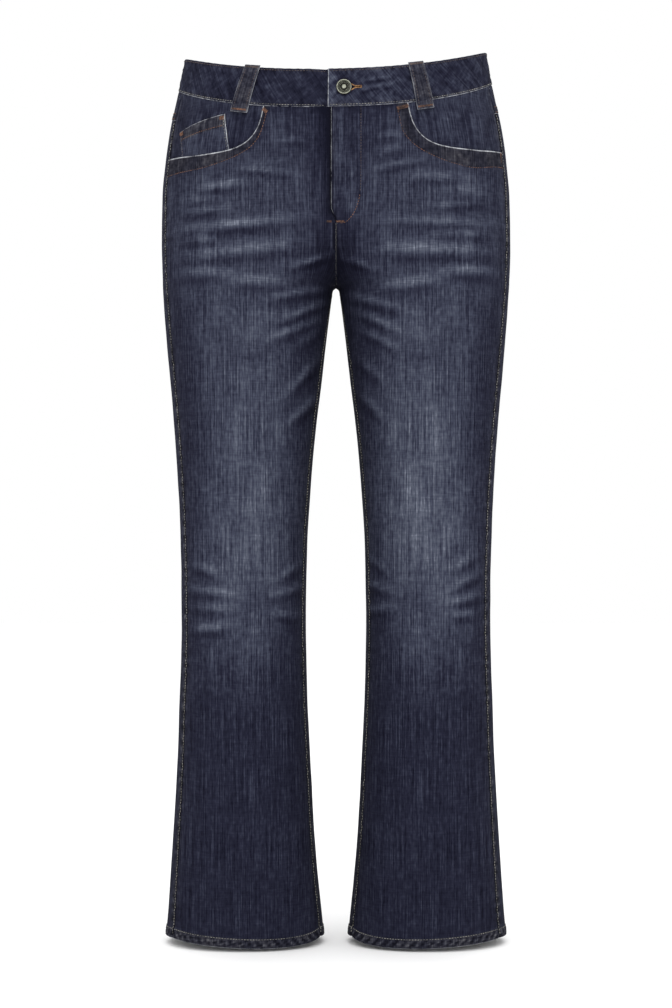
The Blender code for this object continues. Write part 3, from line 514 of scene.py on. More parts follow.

# %% [markdown]
# ## Creases, puckers and wear
#
# Denim is dyed only on the outside of its yarn. Where it rubs, the white core shows, so
# ridges are pale and hollows stay dark. Whiskers at the hips and knees, ropes along the
# hem and puckers beside each seam are all the same thing: a small ridge that has been
# rubbed, with a trough below it whose dye is darkened as painted shade. That is why one
# table moves the cloth, fades it and paints that shade together. Each row was placed one
# by one, and no two match. Tilts are in degrees, and wear 1 would be bare white.

# %% Creases worn into the front
WHISKERS = (
    # side, across, height, length, width, tilt, wear
    (-1, 0.051, -0.112, 0.016, 0.0033, 0, 0.35),
    (-1, 0.075, -0.136, 0.017, 0.0028, 0, 0.30),
    (-1, 0.079, -0.144, 0.028, 0.0033, 6, 0.55),
    (-1, 0.128, -0.159, 0.027, 0.0044, -5, 0.55),
    (-1, 0.153, -0.173, 0.022, 0.0044, -3, 0.45),
    (-1, 0.151, -0.185, 0.027, 0.0044, 0, 0.50),
    (-1, 0.123, -0.204, 0.056, 0.0050, -3, 0.40),
    (-1, 0.104, -0.203, 0.024, 0.0044, -4, 0.35),
    (-1, 0.057, -0.198, 0.033, 0.0044, -6, 0.22),
    (-1, 0.151, -0.218, 0.018, 0.0044, 0, 0.40),
    (-1, 0.101, -0.231, 0.064, 0.0061, -6, 0.45),
    (-1, 0.148, -0.255, 0.027, 0.0056, 2, 0.45),
    (-1, 0.087, -0.265, 0.029, 0.0056, 0, 0.50),
    (-1, 0.028, -0.243, 0.022, 0.0033, -18, 0.60),
    (-1, 0.044, -0.278, 0.033, 0.0039, -14, 0.52),
    (-1, 0.040, -0.299, 0.027, 0.0039, -27, 0.55),
    (-1, 0.049, -0.318, 0.031, 0.0044, -24, 0.45),
    (-1, 0.062, -0.302, 0.014, 0.0056, -10, 0.30),
    (-1, 0.039, -0.370, 0.025, 0.0045, -50, 0.52),
    (-1, 0.037, -0.406, 0.025, 0.0045, -45, 0.55),
    (-1, 0.032, -0.326, 0.018, 0.0044, -40, 0.30),
    (-1, 0.144, -0.586, 0.016, 0.0045, 20, 0.45),
    (-1, 0.141, -0.611, 0.025, 0.0045, 6, 0.50),
    (-1, 0.137, -0.629, 0.022, 0.0045, 2, 0.45),
    (-1, 0.141, -0.652, 0.019, 0.0045, -6, 0.55),
    (-1, 0.054, -0.589, 0.015, 0.0045, -35, 0.40),
    (-1, 0.056, -0.611, 0.019, 0.0045, -15, 0.42),
    (-1, 0.055, -0.637, 0.018, 0.0045, 8, 0.35),
    (1, 0.058, -0.107, 0.013, 0.0033, 0, 0.35),
    (1, 0.063, -0.122, 0.016, 0.0044, 15, 0.25),
    (1, 0.064, -0.139, 0.028, 0.0033, 13, 0.50),
    (1, 0.113, -0.150, 0.031, 0.0044, 2, 0.42),
    (1, 0.147, -0.163, 0.020, 0.0078, 0, 0.40),
    (1, 0.135, -0.180, 0.028, 0.0033, 7, 0.45),
    (1, 0.115, -0.200, 0.060, 0.0039, 0, 0.42),
    (1, 0.143, -0.212, 0.029, 0.0044, 4, 0.40),
    (1, 0.104, -0.230, 0.056, 0.0067, 0, 0.56),
    (1, 0.147, -0.253, 0.028, 0.0056, 0, 0.55),
    (1, 0.084, -0.267, 0.031, 0.0056, 6, 0.50),
    (1, 0.024, -0.245, 0.020, 0.0033, -20, 0.55),
    (1, 0.046, -0.288, 0.030, 0.0044, -18, 0.50),
    (1, 0.050, -0.310, 0.027, 0.0039, -27, 0.52),
    (1, 0.050, -0.330, 0.024, 0.0036, -30, 0.45),
    (1, 0.042, -0.364, 0.019, 0.0045, -44, 0.42),
    (1, 0.043, -0.404, 0.019, 0.0045, -46, 0.45),
    (1, 0.047, -0.580, 0.015, 0.0039, -35, 0.32),
    (1, 0.048, -0.606, 0.017, 0.0045, -18, 0.42),
    (1, 0.049, -0.631, 0.018, 0.0045, 8, 0.42),
    (1, 0.142, -0.578, 0.015, 0.0045, 30, 0.42),
    (1, 0.144, -0.599, 0.018, 0.0045, 28, 0.50),
    (1, 0.142, -0.619, 0.019, 0.0050, 15, 0.50),
    (1, 0.142, -0.636, 0.016, 0.0045, 0, 0.50),
)
BACK_CREASES = (
    # side, across, height, length, width, tilt, wear
    (1, 0.100, -0.262, 0.050, 0.0090, 8, 0.45),
    (1, 0.085, -0.296, 0.042, 0.0080, 16, 0.40),
    (1, 0.070, -0.325, 0.036, 0.0070, 24, 0.30),
    (-1, 0.104, -0.266, 0.050, 0.0090, 6, 0.42),
    (-1, 0.090, -0.302, 0.040, 0.0080, 14, 0.42),
    (-1, 0.066, -0.330, 0.034, 0.0070, 27, 0.30),
    (1, 0.125, -0.585, 0.034, 0.0070, 9, 0.35),
    (1, 0.095, -0.604, 0.038, 0.0080, -7, 0.40),
    (1, 0.118, -0.628, 0.040, 0.0080, 4, 0.42),
    (1, 0.090, -0.655, 0.034, 0.0070, -9, 0.32),
    (-1, 0.120, -0.580, 0.036, 0.0070, 7, 0.38),
    (-1, 0.092, -0.600, 0.036, 0.0080, -10, 0.38),
    (-1, 0.115, -0.626, 0.042, 0.0080, 6, 0.40),
    (-1, 0.096, -0.652, 0.034, 0.0070, -5, 0.34),
)
BAND_CREASES = (
    # side, across, height, length, width, tilt, wear
    (1, 0.045, -0.0440, 0.014, 0.0016, 10, 0.50),
    (1, 0.041, -0.0540, 0.014, 0.0016, 17, 0.55),
    (1, 0.060, -0.0500, 0.012, 0.0018, 24, 0.35),
    (1, 0.014, -0.0385, 0.004, 0.0012, 75, 0.35),
    (1, 0.021, -0.0400, 0.005, 0.0012, 60, 0.35),
    (1, -0.003, -0.0460, 0.005, 0.0012, 70, 0.30),
    (1, 0.000, -0.0620, 0.005, 0.0012, -60, 0.30),
)
RIDGE, RIDGE_ENDS = 0.0016, 2.6
# Below each ridge the cloth dips into a trough, and the last number darkens its dye there as
# painted shade.
TROUGH, TROUGH_AWAY, TROUGH_SHADE = 0.45, 1.9, 0.70


def creases(rows, side, points):
    """The height of the ridges, and how far each point is rubbed, with painted shade in each
    trough.
    """
    lift, wear_and_trough_shade = np.zeros(points.shape[:-1]), np.zeros(points.shape[:-1])
    for on, across, height, length, width, tilt, rubbed in rows:
        if on != side:
            continue
        c, s = math.cos(math.radians(tilt)), math.sin(math.radians(tilt))
        dx, dz = side * points[..., 0] - across, points[..., 2] - height
        run, over = (dx * c + dz * s) / length, (-dx * s + dz * c) / width
        ends = np.exp(-(np.abs(run) ** RIDGE_ENDS))
        ridge, hollow = ends * hill(over, 1), ends * hill(over + TROUGH_AWAY, 1)
        lift += RIDGE * rubbed * (ridge - TROUGH * hollow)
        # the trough's part of this is painted shade, not wear
        wear_and_trough_shade += rubbed * (ridge - TROUGH_SHADE * hollow)
    return lift, wear_and_trough_shade


def wobble(x):
    """An uneven wave: three waves that never fall in step."""
    return (np.sin(x) + 0.55 * np.sin(2.31 * x + 1.1) + 0.35 * np.sin(4.17 * x + 2.7)) / 1.4


print(len(WHISKERS), "creases in front,", len(BACK_CREASES), "behind")

# %% [markdown]
# The broad fade is set by the factory with a spray and a brush: strongest down the
# middle of the thigh, nearly gone below the knee. It follows a column of heights, once
# for the front and once for the back.

# %% Broad fade
FRONT_FADE = np.array([
    # height, fade, middle, half_width
    (-1.050, 0.02, 0.106, 0.050),
    (-0.900, 0.02, 0.106, 0.050),
    (-0.800, 0.05, 0.106, 0.040),
    (-0.740, 0.12, 0.106, 0.040),
    (-0.700, 0.32, 0.106, 0.040),
    (-0.660, 0.50, 0.105, 0.040),
    (-0.620, 0.65, 0.104, 0.041),
    (-0.560, 0.72, 0.101, 0.043),
    (-0.480, 0.69, 0.097, 0.044),
    (-0.400, 0.61, 0.096, 0.045),
    (-0.330, 0.56, 0.102, 0.048),
    (-0.270, 0.50, 0.104, 0.060),
    (-0.220, 0.47, 0.104, 0.072),
    (-0.160, 0.43, 0.100, 0.085),
    (-0.110, 0.30, 0.088, 0.084),
    (-0.060, 0.20, 0.088, 0.084),
    (0.040, 0.18, 0.088, 0.084),
])
BACK_FADE = np.array([
    # height, fade, middle, half_width
    (-1.050, 0.04, 0.106, 0.050),
    (-0.740, 0.10, 0.106, 0.045),
    (-0.600, 0.30, 0.106, 0.045),
    (-0.450, 0.34, 0.106, 0.048),
    (-0.330, 0.40, 0.100, 0.055),
    (-0.200, 0.52, 0.090, 0.065),
    (-0.100, 0.36, 0.085, 0.080),
    (0.040, 0.22, 0.080, 0.095),
])
# The wearer's left thigh was brushed harder than the right one, below the hips only.
LEFT_STRENGTH = 1.18
LEFT_TOP, LEFT_FOOT, LEFT_BLEND = -0.36, -0.60, 0.06
FADE_EDGE = 3.0


def broad_fade(face, side, points):
    """How faded each point is: most at the row's middle, with a soft edge on both sides."""
    table = FRONT_FADE if face == "front" else BACK_FADE
    z = points[..., 2]
    strength, middle, half = (through(*table[:, [0, i]].T, z) for i in (1, 2, 3))
    across = (side * points[..., 0] - middle) / half
    low = smooth((LEFT_TOP - z) / LEFT_BLEND) * smooth((z - LEFT_FOOT) / LEFT_BLEND)
    strength = strength * (1 + (LEFT_STRENGTH - 1) * (low * (side == 1)))
    return strength * np.exp(-0.5 * np.abs(across) ** FADE_EDGE)


print("strongest fade", FRONT_FADE[:, 1].max())

# %% [markdown]
# ## The relief of a leg piece
#
# Everything that shows on a leg comes from distances: to the outseam, the inseam, the
# hem, the mouth and the lines of stitches. A seam pulls its cloth into small puckers, a
# hem twists into a rope, and a stitch line sinks. One function returns how far the cloth
# stands out, how faded it is and where painted shade darkens it, how far it is from a
# rubbed edge, and whether it lies on a doubled strip, which wears greyer.

# %% Relief
UNEVEN, PUCKER, HEM_PROUD, HEM_ROPE, HEM_ROPE_PITCH = 0.00035, 0.00042, 0.0008, 0.0004, 0.0100
HEM_STITCH, HEM_STEP = 0.0105, 0.0016
SEAM_DEEP, SEAM_HALF = 0.0007, 0.0011
LAP_WIDE, LAP_STEP, LAP_PROUD, LAP_ROWS = 0.0085, 0.0010, 0.0004, (0.0020, 0.0080)
STRIP_PROUD, STRIP_ROPE, STRIP_PITCH = 0.0004, 0.0004, 0.0095
FLY_PROUD, FLY_REACH, FLY_SUNK, FLY_LUMPS = 0.0009, 0.022, 0.0011, 0.0006
RUB_FAR = 0.05
LEG_SEAMS = (
    # phase, reach, pitch, blotch: the outseam, then the inseam with the centre seam
    (0.4, 0.0060, 0.0098, 0.50),
    (2.1, 0.0045, 0.0112, 0.20),
)


def groove(distance, depth=0.00035, half=0.0009):
    """How far a row of stitches pulls the cloth down."""
    return -depth * hill(distance, half)


print("a groove is", -groove(0.0) * 1000, "mm deep")

# %% Relief of a leg piece
def leg_relief(face, side, u, z, points, along, full):
    """How far a leg piece's cloth stands out, and its four painted numbers."""
    lift = UNEVEN * wobble(41 * z + 23 * points[..., 0]) * wobble(57 * points[..., 1] + 2)
    rows = WHISKERS if face == "front" else BACK_CREASES
    # the creases' wear on their ridges, with painted shade in the troughs below them
    ridges, rubbed = creases(rows, side, points)
    fade = broad_fade(face, side, points)
    rim, strip = np.full(z.shape, RUB_FAR), np.zeros(z.shape)
    lift += ridges
    # puckers beside the outseam and the inseam or centre seam: the back piece, whose
    # allowance is doubled under the stitches, wears most
    more = 1.0 if face == "front" else 2.2
    for far, (phase, reach, pitch, blotch) in zip((along, full - along), LEG_SEAMS):
        phase = phase + side
        wave = wobble(turns(z, pitch) + 1.7 * np.sin(31 * z + phase) + phase)
        near = hill(far, reach)
        lift += PUCKER * near * wave * more**0.5 + groove(far, SEAM_DEEP, SEAM_HALF)
        fade += near * 0.13 * (wave - 0.2) * more - 0.75 * hill(far, SEAM_HALF)
        doubled = hill(far, 0.009, 6) if face == "back" else 0.35 * near
        patches = wobble(turns(z, 0.013) + 3 * np.sin(53 * z) + phase)
        fade += blotch * doubled * (patches + 0.35)
        strip = np.maximum(strip, 0.9 * doubled)
    # the hem: doubled, stitched, and twisted into a rope below its stitches
    high = z - hem_height(face, u)
    hem = 1 - smooth((high - HEM_STITCH) / HEM_STEP)
    rope = wobble(turns(along + 0.9 * high, HEM_ROPE_PITCH) + 3 * np.sin(19 * along))
    body = np.sin(math.pi * np.clip(high / HEM_STITCH, 0, 1))
    lift += HEM_PROUD * hem + HEM_ROPE * rope * body + groove(high - HEM_STITCH)
    lift -= 0.0007 * rolled(high, 0.0010)
    fade += hem * (0.22 + 0.80 * rope * body)
    strip = np.maximum(strip, 0.9 * hem)
    rim = np.minimum(rim, high + 0.0004)
    if face == "front":
        own = front_relief(side, z, points, along, full)
    else:
        own = back_relief(side, u, z, along, full)
    # at the crotch the cloth faces sideways, so nothing may lift it beside the centre seam
    reach = 0.072 if face == "front" else 0.120
    meet = smooth((z - CROTCH + 0.006) / 0.004) * smooth((CROTCH + reach - z) / 0.010)
    lift = (lift + own[0]) * (1 - meet * hill(full - along, 0.005))
    fade, rim, strip = fade + own[1], np.minimum(rim, own[2]), np.maximum(strip, own[3])
    return lift, {"fade": fade, "ridge": rubbed, "rim": rim, "strip": strip}


def front_relief(side, z, points, along, full):
    """The pocket's strip, the fly's lap, and painted shade beside the fly, under the band and in
    the crotch.
    """
    far, run, _ = nearest(MOUTHS[side], along, z)
    stitch, _, turn = nearest(MOUTH_STITCH[side], along, z)
    inside = smooth(turn * stitch / 0.0012 + 0.5) * (z > -0.16)
    wave = wobble(turns(run, STRIP_PITCH) + 2 * np.sin(60 * run))
    belly = np.clip(4 * far * stitch / (far + stitch + 1e-6) ** 2, 0, 1) * inside
    lift = STRIP_PROUD * inside + STRIP_ROPE * wave * belly + groove(stitch)
    lift -= 0.0006 * rolled(far, 0.0012)
    fade = inside * (0.12 * wave * belly - 0.10)
    rim = np.maximum(far - 0.0004, 0)
    x = side * points[..., 0]
    edge = full - along
    on_fly = smooth((z - FLY_FOOT) / 0.010)
    if side == 1:
        lift += on_fly * (FLY_PROUD * hill(edge, FLY_REACH) - 0.0007 * rolled(edge, 0.0016))
        lift += groove(nearest(FLY_STITCH, points[..., 0], z)[0])
        lumps = wobble(250 * z + 4 * np.sin(90 * x)) * wobble(230 * x - 120 * z + 1)
        within = on_fly * hill(x - 0.010, 0.014, 4)
        lift += FLY_LUMPS * within * lumps
        fade += 0.42 * hill(x - 0.003, 0.007) * smooth((z + 0.150) / 0.02)
        fade += 0.24 * within * lumps
        rim = np.minimum(rim, edge + 0.0004 + 0.004 * (1 - on_fly))
    else:
        lift -= on_fly * FLY_SUNK * hill(edge, 0.007)
        # painted shade: the cloth beside the lap's edge is darkened where the lap overhangs it
        fade -= 0.50 * hill(edge, 0.013) * on_fly
    tail, _, turn = nearest(FLY_TAIL, points[..., 0], z)
    lift += 0.0005 * hill(tail, 0.0018)
    fade += 0.55 * hill(tail, 0.0011)
    # painted shade: a dark strip along one side of the fold
    fade -= 0.50 * hill(tail * turn - 0.0024, 0.0014) * (tail < 0.006)
    # painted shade: darker in the crotch's hollow and just under the band; the cloth round the
    # upper fly is darker too
    fade -= 0.35 * (hill(z + 0.245, 0.035) * hill(x, 0.030))
    fade -= 0.22 * hill(waist_seam(points) - z, 0.007)
    fade -= 0.20 * hill(x, 0.045) * smooth((z + 0.16) / 0.05)
    return lift, fade, rim, 0.9 * inside


def back_relief(side, u, z, along, full):
    """The seat seam's lap and the yoke's lap at the top."""
    edge, below = full - along, yoke_edge(side, u) - z
    seat = smooth((z - CROTCH) / 0.02) * (side == 1)
    lapped = 1 - smooth((edge - LAP_WIDE) / LAP_STEP)
    lift = seat * LAP_PROUD * lapped
    lift += seat * sum(groove(edge - row) for row in LAP_ROWS)
    lift += 0.0002 * hill(below, 0.004)
    strip = seat * lapped * 0.8
    return lift, -0.1 * strip, np.full(z.shape, RUB_FAR), strip


# The fly's curved line of stitches as (x, height), from the waist seam to its bar tack.
FLY_STITCH = rounded(
    [(0.0275, -0.070), (0.0275, -0.110), (0.0274, -0.157), (0.0262, -0.173)]
    + [(0.0225, -0.187), (0.0160, -0.198), (0.0088, -0.2035), (0.0020, -0.2040)],
    50,
)
# The fold that runs on below the fly, down to the crotch.
FLY_TAIL = rounded(
    [(-0.0052, -0.204), (-0.0054, -0.222), (-0.0046, -0.2290)]
    + [(-0.0006, -0.2345), (0.0002, -0.242), (0.0004, -0.256)],
    24,
)
print("the fly's stitches turn over", len(FLY_STITCH), "points")

# %% [markdown]
# ## Turning a grid into cloth
#
# A piece of cloth is a thin closed wall: an outer face, an inner face and a rim. Closed,
# because it must hold up as a mesh on its own. The face that shows carries four painted
# numbers for the dye, its wear and painted shade, and a flat pattern in metres so that the
# weave keeps its size. The inside gets its own finish, since the back of denim shows the
# undyed weft.

# %% Cloth from a grid
CLOTH, HEM_THICKER, SEAM_GAP, ALLOWANCE = 0.0010, 0.0012, 0.0003, 0.0050


def relaid(points, normals, lift):
    """Moved points, and the normals of the surface that they now make."""
    moved = points + normals * lift[..., None]
    across, up = np.gradient(moved, axis=1), np.gradient(moved, axis=0)
    turned = unit(np.cross(across, up))
    turned *= np.sign((turned * normals).sum(-1, keepdims=True))
    return moved, turned


def cloth(name, outer, inner, flat, paint, keep=None, mats=()):
    """A closed wall between two grids; flat is its pattern, paint its numbers for wear and painted
    shade.
    """
    rows, cols = outer.shape[:2]
    keep = np.ones((rows - 1, cols - 1), bool) if keep is None else keep
    a = (np.arange(rows - 1)[:, None] * cols + np.arange(cols - 1))[keep]
    quads = np.stack([a, a + 1, a + cols + 1, a + cols], axis=-1)
    half = rows * cols
    sides = np.concatenate([quads[:, [k, (k + 1) % 4]] for k in range(4)])
    keys = sides[:, 0] * half + sides[:, 1]
    rim = sides[~np.isin(sides[:, 1] * half + sides[:, 0], keys)]
    walls = np.stack([rim[:, 1], rim[:, 0], rim[:, 0] + half, rim[:, 1] + half], axis=-1)
    faces = np.concatenate([quads, quads[:, ::-1] + half, walls])
    verts = np.concatenate([outer.reshape(-1, 3), inner.reshape(-1, 3)])
    diagonals = verts[faces[:, 2]] - verts[faces[:, 0]], verts[faces[:, 3]] - verts[faces[:, 1]]
    if (verts[faces].mean(1) * np.cross(*diagonals)).sum() < 0:
        faces = faces[:, ::-1]
    used = np.unique(faces)
    order = np.zeros(2 * half, int)
    order[used] = np.arange(len(used))
    mesh = bpy.data.meshes.new(name)
    mesh.from_pydata(verts[used], [], order[faces])
    place_in = np.zeros(len(faces), np.int32)
    place_in[len(quads) : 2 * len(quads)] = 1
    for finish in mats:
        mesh.materials.append(finish)
    mesh.polygons.foreach_set("material_index", place_in)
    mesh.polygons.foreach_set("use_smooth", np.ones(len(faces), bool))
    corner = np.empty(len(mesh.loops), np.int32)
    mesh.loops.foreach_get("vertex_index", corner)
    both = np.concatenate([flat.reshape(-1, 2)] * 2)[used]
    mesh.uv_layers.new(name="cloth").data.foreach_set("uv", both[corner].ravel())
    for label, values in paint.items():
        values = np.broadcast_to(values, (rows, cols)).ravel()
        layer = mesh.attributes.new(label, "FLOAT", "POINT")
        layer.data.foreach_set("value", np.concatenate([values] * 2)[used])
    mesh.update()
    return link(name, mesh)


print("cloth", CLOTH * 1000, "mm thick")

# %% Allowance inside the seams
def flanged(outer, inner, normals, flat, paint):
    """Turns both side edges of a grid inward, as the allowance inside a seam.

    At the centre seam it goes straight in, since the cloth there may face sideways.
    """
    for k, beside, turn in ((0, 1, -1), (-1, -2, 1)):
        into = unit(outer[:, beside] - outer[:, k])
        outer[:, k] += into * SEAM_GAP / 2
        inner[:, k] = outer[:, k] + (into - normals[:, k]) * CLOTH
        centre = smooth((outer[:, k, 2] - CROTCH + 0.002) / 0.004) * (k == -1)
        straight = -np.sign(outer[:, k, 1:2]) * np.array([0.0, 1.0, 0.0])
        inward = -normals[:, k] * (1 - centre)[:, None] + straight * centre[:, None]
        edge = outer[:, k] - into * 0.4 * SEAM_GAP + unit(inward) * ALLOWANCE
        ends = [outer, inner, flat, *paint.values()]
        first = flat[:, k] + np.array([turn * ALLOWANCE, 0.0])
        more = [edge, edge + into * CLOTH, first] + [v[:, k] for v in paint.values()]
        grown = []
        for grid, extra in zip(ends, more):
            pair = (extra[:, None], grid) if k == 0 else (grid, extra[:, None])
            grown.append(np.concatenate(pair, axis=1))
        outer, inner, flat = grown[:3]
        paint = dict(zip(paint, grown[3:]))
        wide = normals[:, :1] if k == 0 else normals[:, -1:]
        normals = np.concatenate((wide, normals) if k == 0 else (normals, wide), axis=1)
    return outer, inner, flat, paint


print("allowance", ALLOWANCE * 1000, "mm")

# %% What each sheet stands for
def link(name, mesh):
    """A mesh as a piece of the scene, riding on the garment's one body."""
    piece = bpy.data.objects.new(name, mesh)
    bpy.context.scene.collection.objects.link(piece)
    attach(piece, "root")
    return piece


def cut_size(points, flat):
    """The flat area of a grid, and the width and length of its pattern."""
    a = np.cross(points[1:, 1:] - points[:-1, :-1], points[1:, :-1] - points[:-1, 1:])
    width, length = np.ptp(flat[..., 0]), np.ptp(flat[..., 1])
    return float(np.linalg.norm(a, axis=-1).sum() / 2), (float(width), float(length))


def declare(piece, node, points, flat, turned_in=0.0):
    """Hides the node that a sheet stands for, and prints what the sheet was cut to."""
    area, (width, length) = cut_size(points, flat)
    area += turned_in * width
    length = max(length + turned_in, area / width)
    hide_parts(node)
    tris = sum(len(f.vertices) - 2 for f in piece.data.polygons)
    print(f"{piece.name}: {width:.3f} x {length:.3f} m, {area:.4f} m2, {tris} triangles")


# %% [markdown]
# ## Shader expressions
#
# A finish is a sum: dye, plus thread, plus wear. Written as plain arithmetic it can be
# read; wired by hand it can't. This small class wraps one socket, and each operator adds
# the Math node that does it.

# %% A socket with arithmetic
class Wire:
    """One output socket, which can be added, multiplied and clamped."""

    def __init__(self, paint, socket):
        self.paint = paint
        self.socket = socket

    def maths(self, operation, *others):
        values = dict(enumerate((self, *others)))
        return self.paint.node("ShaderNodeMath", {"operation": operation}, values)

    def __add__(self, other):
        return self.maths("ADD", other)

    def __sub__(self, other):
        return self.maths("SUBTRACT", other)

    def __rsub__(self, other):
        return (self * -1.0).maths("ADD", other)

    def __mul__(self, other):
        return self.maths("MULTIPLY", other)

    __radd__ = __add__
    __rmul__ = __mul__

    def sine(self):
        return self.maths("SINE")

    def clamp(self):
        return self.maths("MAXIMUM", 0.0).maths("MINIMUM", 1.0)

    def step(self, low, high):
        """0 below low, 1 above high and a soft step between; either way round."""
        settings = {"interpolation_type": "SMOOTHSTEP"}
        if high < low:
            return 1.0 - self.step(high, low)
        values = {0: self, 1: low, 2: high}
        return self.paint.node("ShaderNodeMapRange", settings, values)


class Paint:
    """A material being made."""

    def __init__(self, name, **constants):
        self.material = bpy.data.materials.new(name)
        self.material.use_nodes = True
        self.tree = self.material.node_tree
        self.shader = self.tree.nodes["Principled BSDF"]
        for socket, value in constants.items():
            self.shader.inputs[socket.replace("_", " ")].default_value = value

    def node(self, kind, settings=None, values=None, out=0):
        made = self.tree.nodes.new(kind)
        for key, value in (settings or {}).items():
            setattr(made, key, value)
        for key, value in (values or {}).items():
            self.feed(made.inputs[key], value)
        return Wire(self, made.outputs[out])

    def feed(self, socket, value):
        if isinstance(value, Wire):
            self.tree.links.new(value.socket, socket)
        else:
            socket.default_value = value

    def number(self, name):
        return self.node("ShaderNodeAttribute", {"attribute_name": name}, out="Fac")

    def split(self, vector):
        made = self.node("ShaderNodeSeparateXYZ", None, {0: vector}).socket.node
        return [Wire(self, made.outputs[k]) for k in range(3)]

    def joined(self, x, y, z):
        return self.node("ShaderNodeCombineXYZ", None, {0: x, 1: y, 2: z})

    def noise(self, x, y, z=0.0, detail=1.0):
        values = {"Vector": self.joined(x, y, z), "Scale": 1.0, "Detail": detail}
        return self.node("ShaderNodeTexNoise", None, values, "Fac")

    def mix(self, share, dark, light):
        """One colour turning into another."""
        values = {0: share, 6: dark, 7: light}
        return self.node("ShaderNodeMix", {"data_type": "RGBA"}, values, 2)

    def finish(self, colour, roughness=None, height=None, depth=0.0003, strength=1.0):
        self.feed(self.shader.inputs["Base Color"], colour)
        if roughness is not None:
            self.feed(self.shader.inputs["Roughness"], roughness)
        if height is not None:
            values = {"Height": height, "Distance": depth, "Strength": strength}
            bump = self.node("ShaderNodeBump", None, values)
            self.feed(self.shader.inputs["Normal"], bump)
        return self.material


print("shader maths is ready")

# %% [markdown]
# ## Denim
#
# The warp is dyed indigo and runs down the leg. The weft is undyed and shows only in
# small marks between the warp's slanting ribs. Uneven yarn leaves long pale streaks, and
# where the cloth is faded both grow paler and stand out more. The shader reads its place
# in metres from the flat pattern, so a thread is as wide on a pocket as on a leg.

# %% Dyes and yarn
# Five steps of wear, from the bottom of a hollow to a bleached ridge, and the same
# five where the cloth is doubled at a hem or a strip and wears greyer.
INDIGO = (
    (0.0045, 0.0048, 0.0120, 1.0),
    (0.0150, 0.0160, 0.0310, 1.0),
    (0.0410, 0.0460, 0.0720, 1.0),
    (0.0880, 0.0980, 0.1320, 1.0),
    (0.2150, 0.2330, 0.2900, 1.0),
)
DOUBLED = (
    (0.0055, 0.0054, 0.0080, 1.0),
    (0.0150, 0.0148, 0.0215, 1.0),
    (0.0370, 0.0358, 0.0450, 1.0),
    (0.0780, 0.0775, 0.0850, 1.0),
    (0.1700, 0.1710, 0.1800, 1.0),
)
RUBBED_WHITE = (0.5200, 0.5350, 0.5700, 1.0)
INSIDE_DARK = (0.0750, 0.0850, 0.1150, 1.0)
WEFT_WHITE = (0.2500, 0.2650, 0.3000, 1.0)
TWILL = 2 * math.pi / 0.0011


def yarn(paint):
    """Threads of the warp and marks of the weft, clouds of wear, and the twill's ribs."""
    s, t, _ = paint.split(paint.node("ShaderNodeUVMap", {"uv_map": "cloth"}))
    fine = paint.noise(s * 760.0, t * 15.0)
    slub = paint.noise(s * 330.0, t * 8.0, 3.0)
    short = paint.noise(s * 620.0, t * 95.0, 11.0)
    weft = paint.noise(s * 55.0, t * 640.0, 5.0)
    cloud = paint.noise(s * 36.0, t * 36.0, 9.0, 3.0)
    grime = paint.noise(s * 170.0, t * 170.0, 13.0, 2.0)
    cross = paint.noise(s * 40.0, t * 420.0, 17.0, 2.0)
    twill = ((s + t * 1.7) * TWILL).sine()
    return [n - 0.5 for n in (fine, slub, short, weft, cloud, grime, cross)] + [twill]


def ramp(paint, worn, colours):
    """The colour for each step of wear, with even blends between."""
    colour = colours[0]
    for k, lighter in enumerate(colours[1:]):
        colour = paint.mix((worn - float(k)).clamp(), colour, lighter)
    return colour


print(len(INDIGO), "steps of wear")

# %% Denim, outside and inside
def denim(name, base=0.775, streaks=1.0, crossed=0.0):
    """A face of denim; base is its wear before any fade, crossed its slanting blotches."""
    paint = Paint(name, Specular_IOR_Level=0.06)
    fine, slub, short, weft, cloud, grime, cross, twill = yarn(paint)
    fade, ridge, strip, rim = (paint.number(n) for n in ("fade", "ridge", "strip", "rim"))
    # each kind of mark counts for so many steps of wear, more where the cloth is faded
    thread = fine * 3.4 + slub * 0.9 + short * 2.1 + weft * 1.0 + twill * 0.03
    dirt = cloud * (0.9 + crossed) + grime * (1.5 + crossed) + cross * crossed
    rag = 1.95 + cloud * 1.4 + weft * 1.5 + cross * 1.3 + slub * 1.2
    # both painted numbers carry wear and also painted shade, which darkens the dye where they fall
    # below 0
    worn = base + fade * (2.0 + cloud * 0.9) + ridge * rag
    worn = worn + (thread * streaks + dirt) * (0.72 + fade * 0.30)
    dyed = ramp(paint, worn, INDIGO)
    doubled = ramp(paint, worn + grime * 2.6 + cloud * 2.0, DOUBLED)
    dyed = paint.mix((strip * (0.85 + cloud)).clamp(), dyed, doubled)
    patchy = (0.55 + cloud * 1.8 + grime * 2.0 + short * 1.0).clamp()
    rubbed = rim.step(0.0013, 0.0002) * patchy
    colour = paint.mix(rubbed, dyed, RUBBED_WHITE)
    height = twill * 0.5 + fine * 2.4 + short * 1.6 + weft * 1.2 + rubbed * 0.6
    return paint.finish(colour, 0.95 - rubbed * 0.1, height, 0.00022, 0.8)


def denim_inside(name):
    """The reverse of denim, where weft and warp show in equal parts."""
    paint = Paint(name, Specular_IOR_Level=0.06)
    fine, slub, short, weft, cloud, grime, _, twill = yarn(paint)
    worn = 0.5 + weft * 1.4 + fine * 0.8 + short * 0.6 + cloud * 0.4 + twill * 0.15
    colour = paint.mix(worn.clamp(), INSIDE_DARK, WEFT_WHITE)
    return paint.finish(colour, 0.95 - grime * 0.1, twill + weft + slub, 0.0002, 0.6)


DENIM = denim("denim")
DENIM_INSIDE = denim_inside("denim inside")
DENIM_POCKET = denim("denim of the pocket facing", 0.76)
DENIM_BAND = denim("denim of the waistband", 0.71, 0.75, 1.0)
print("four finishes of denim")

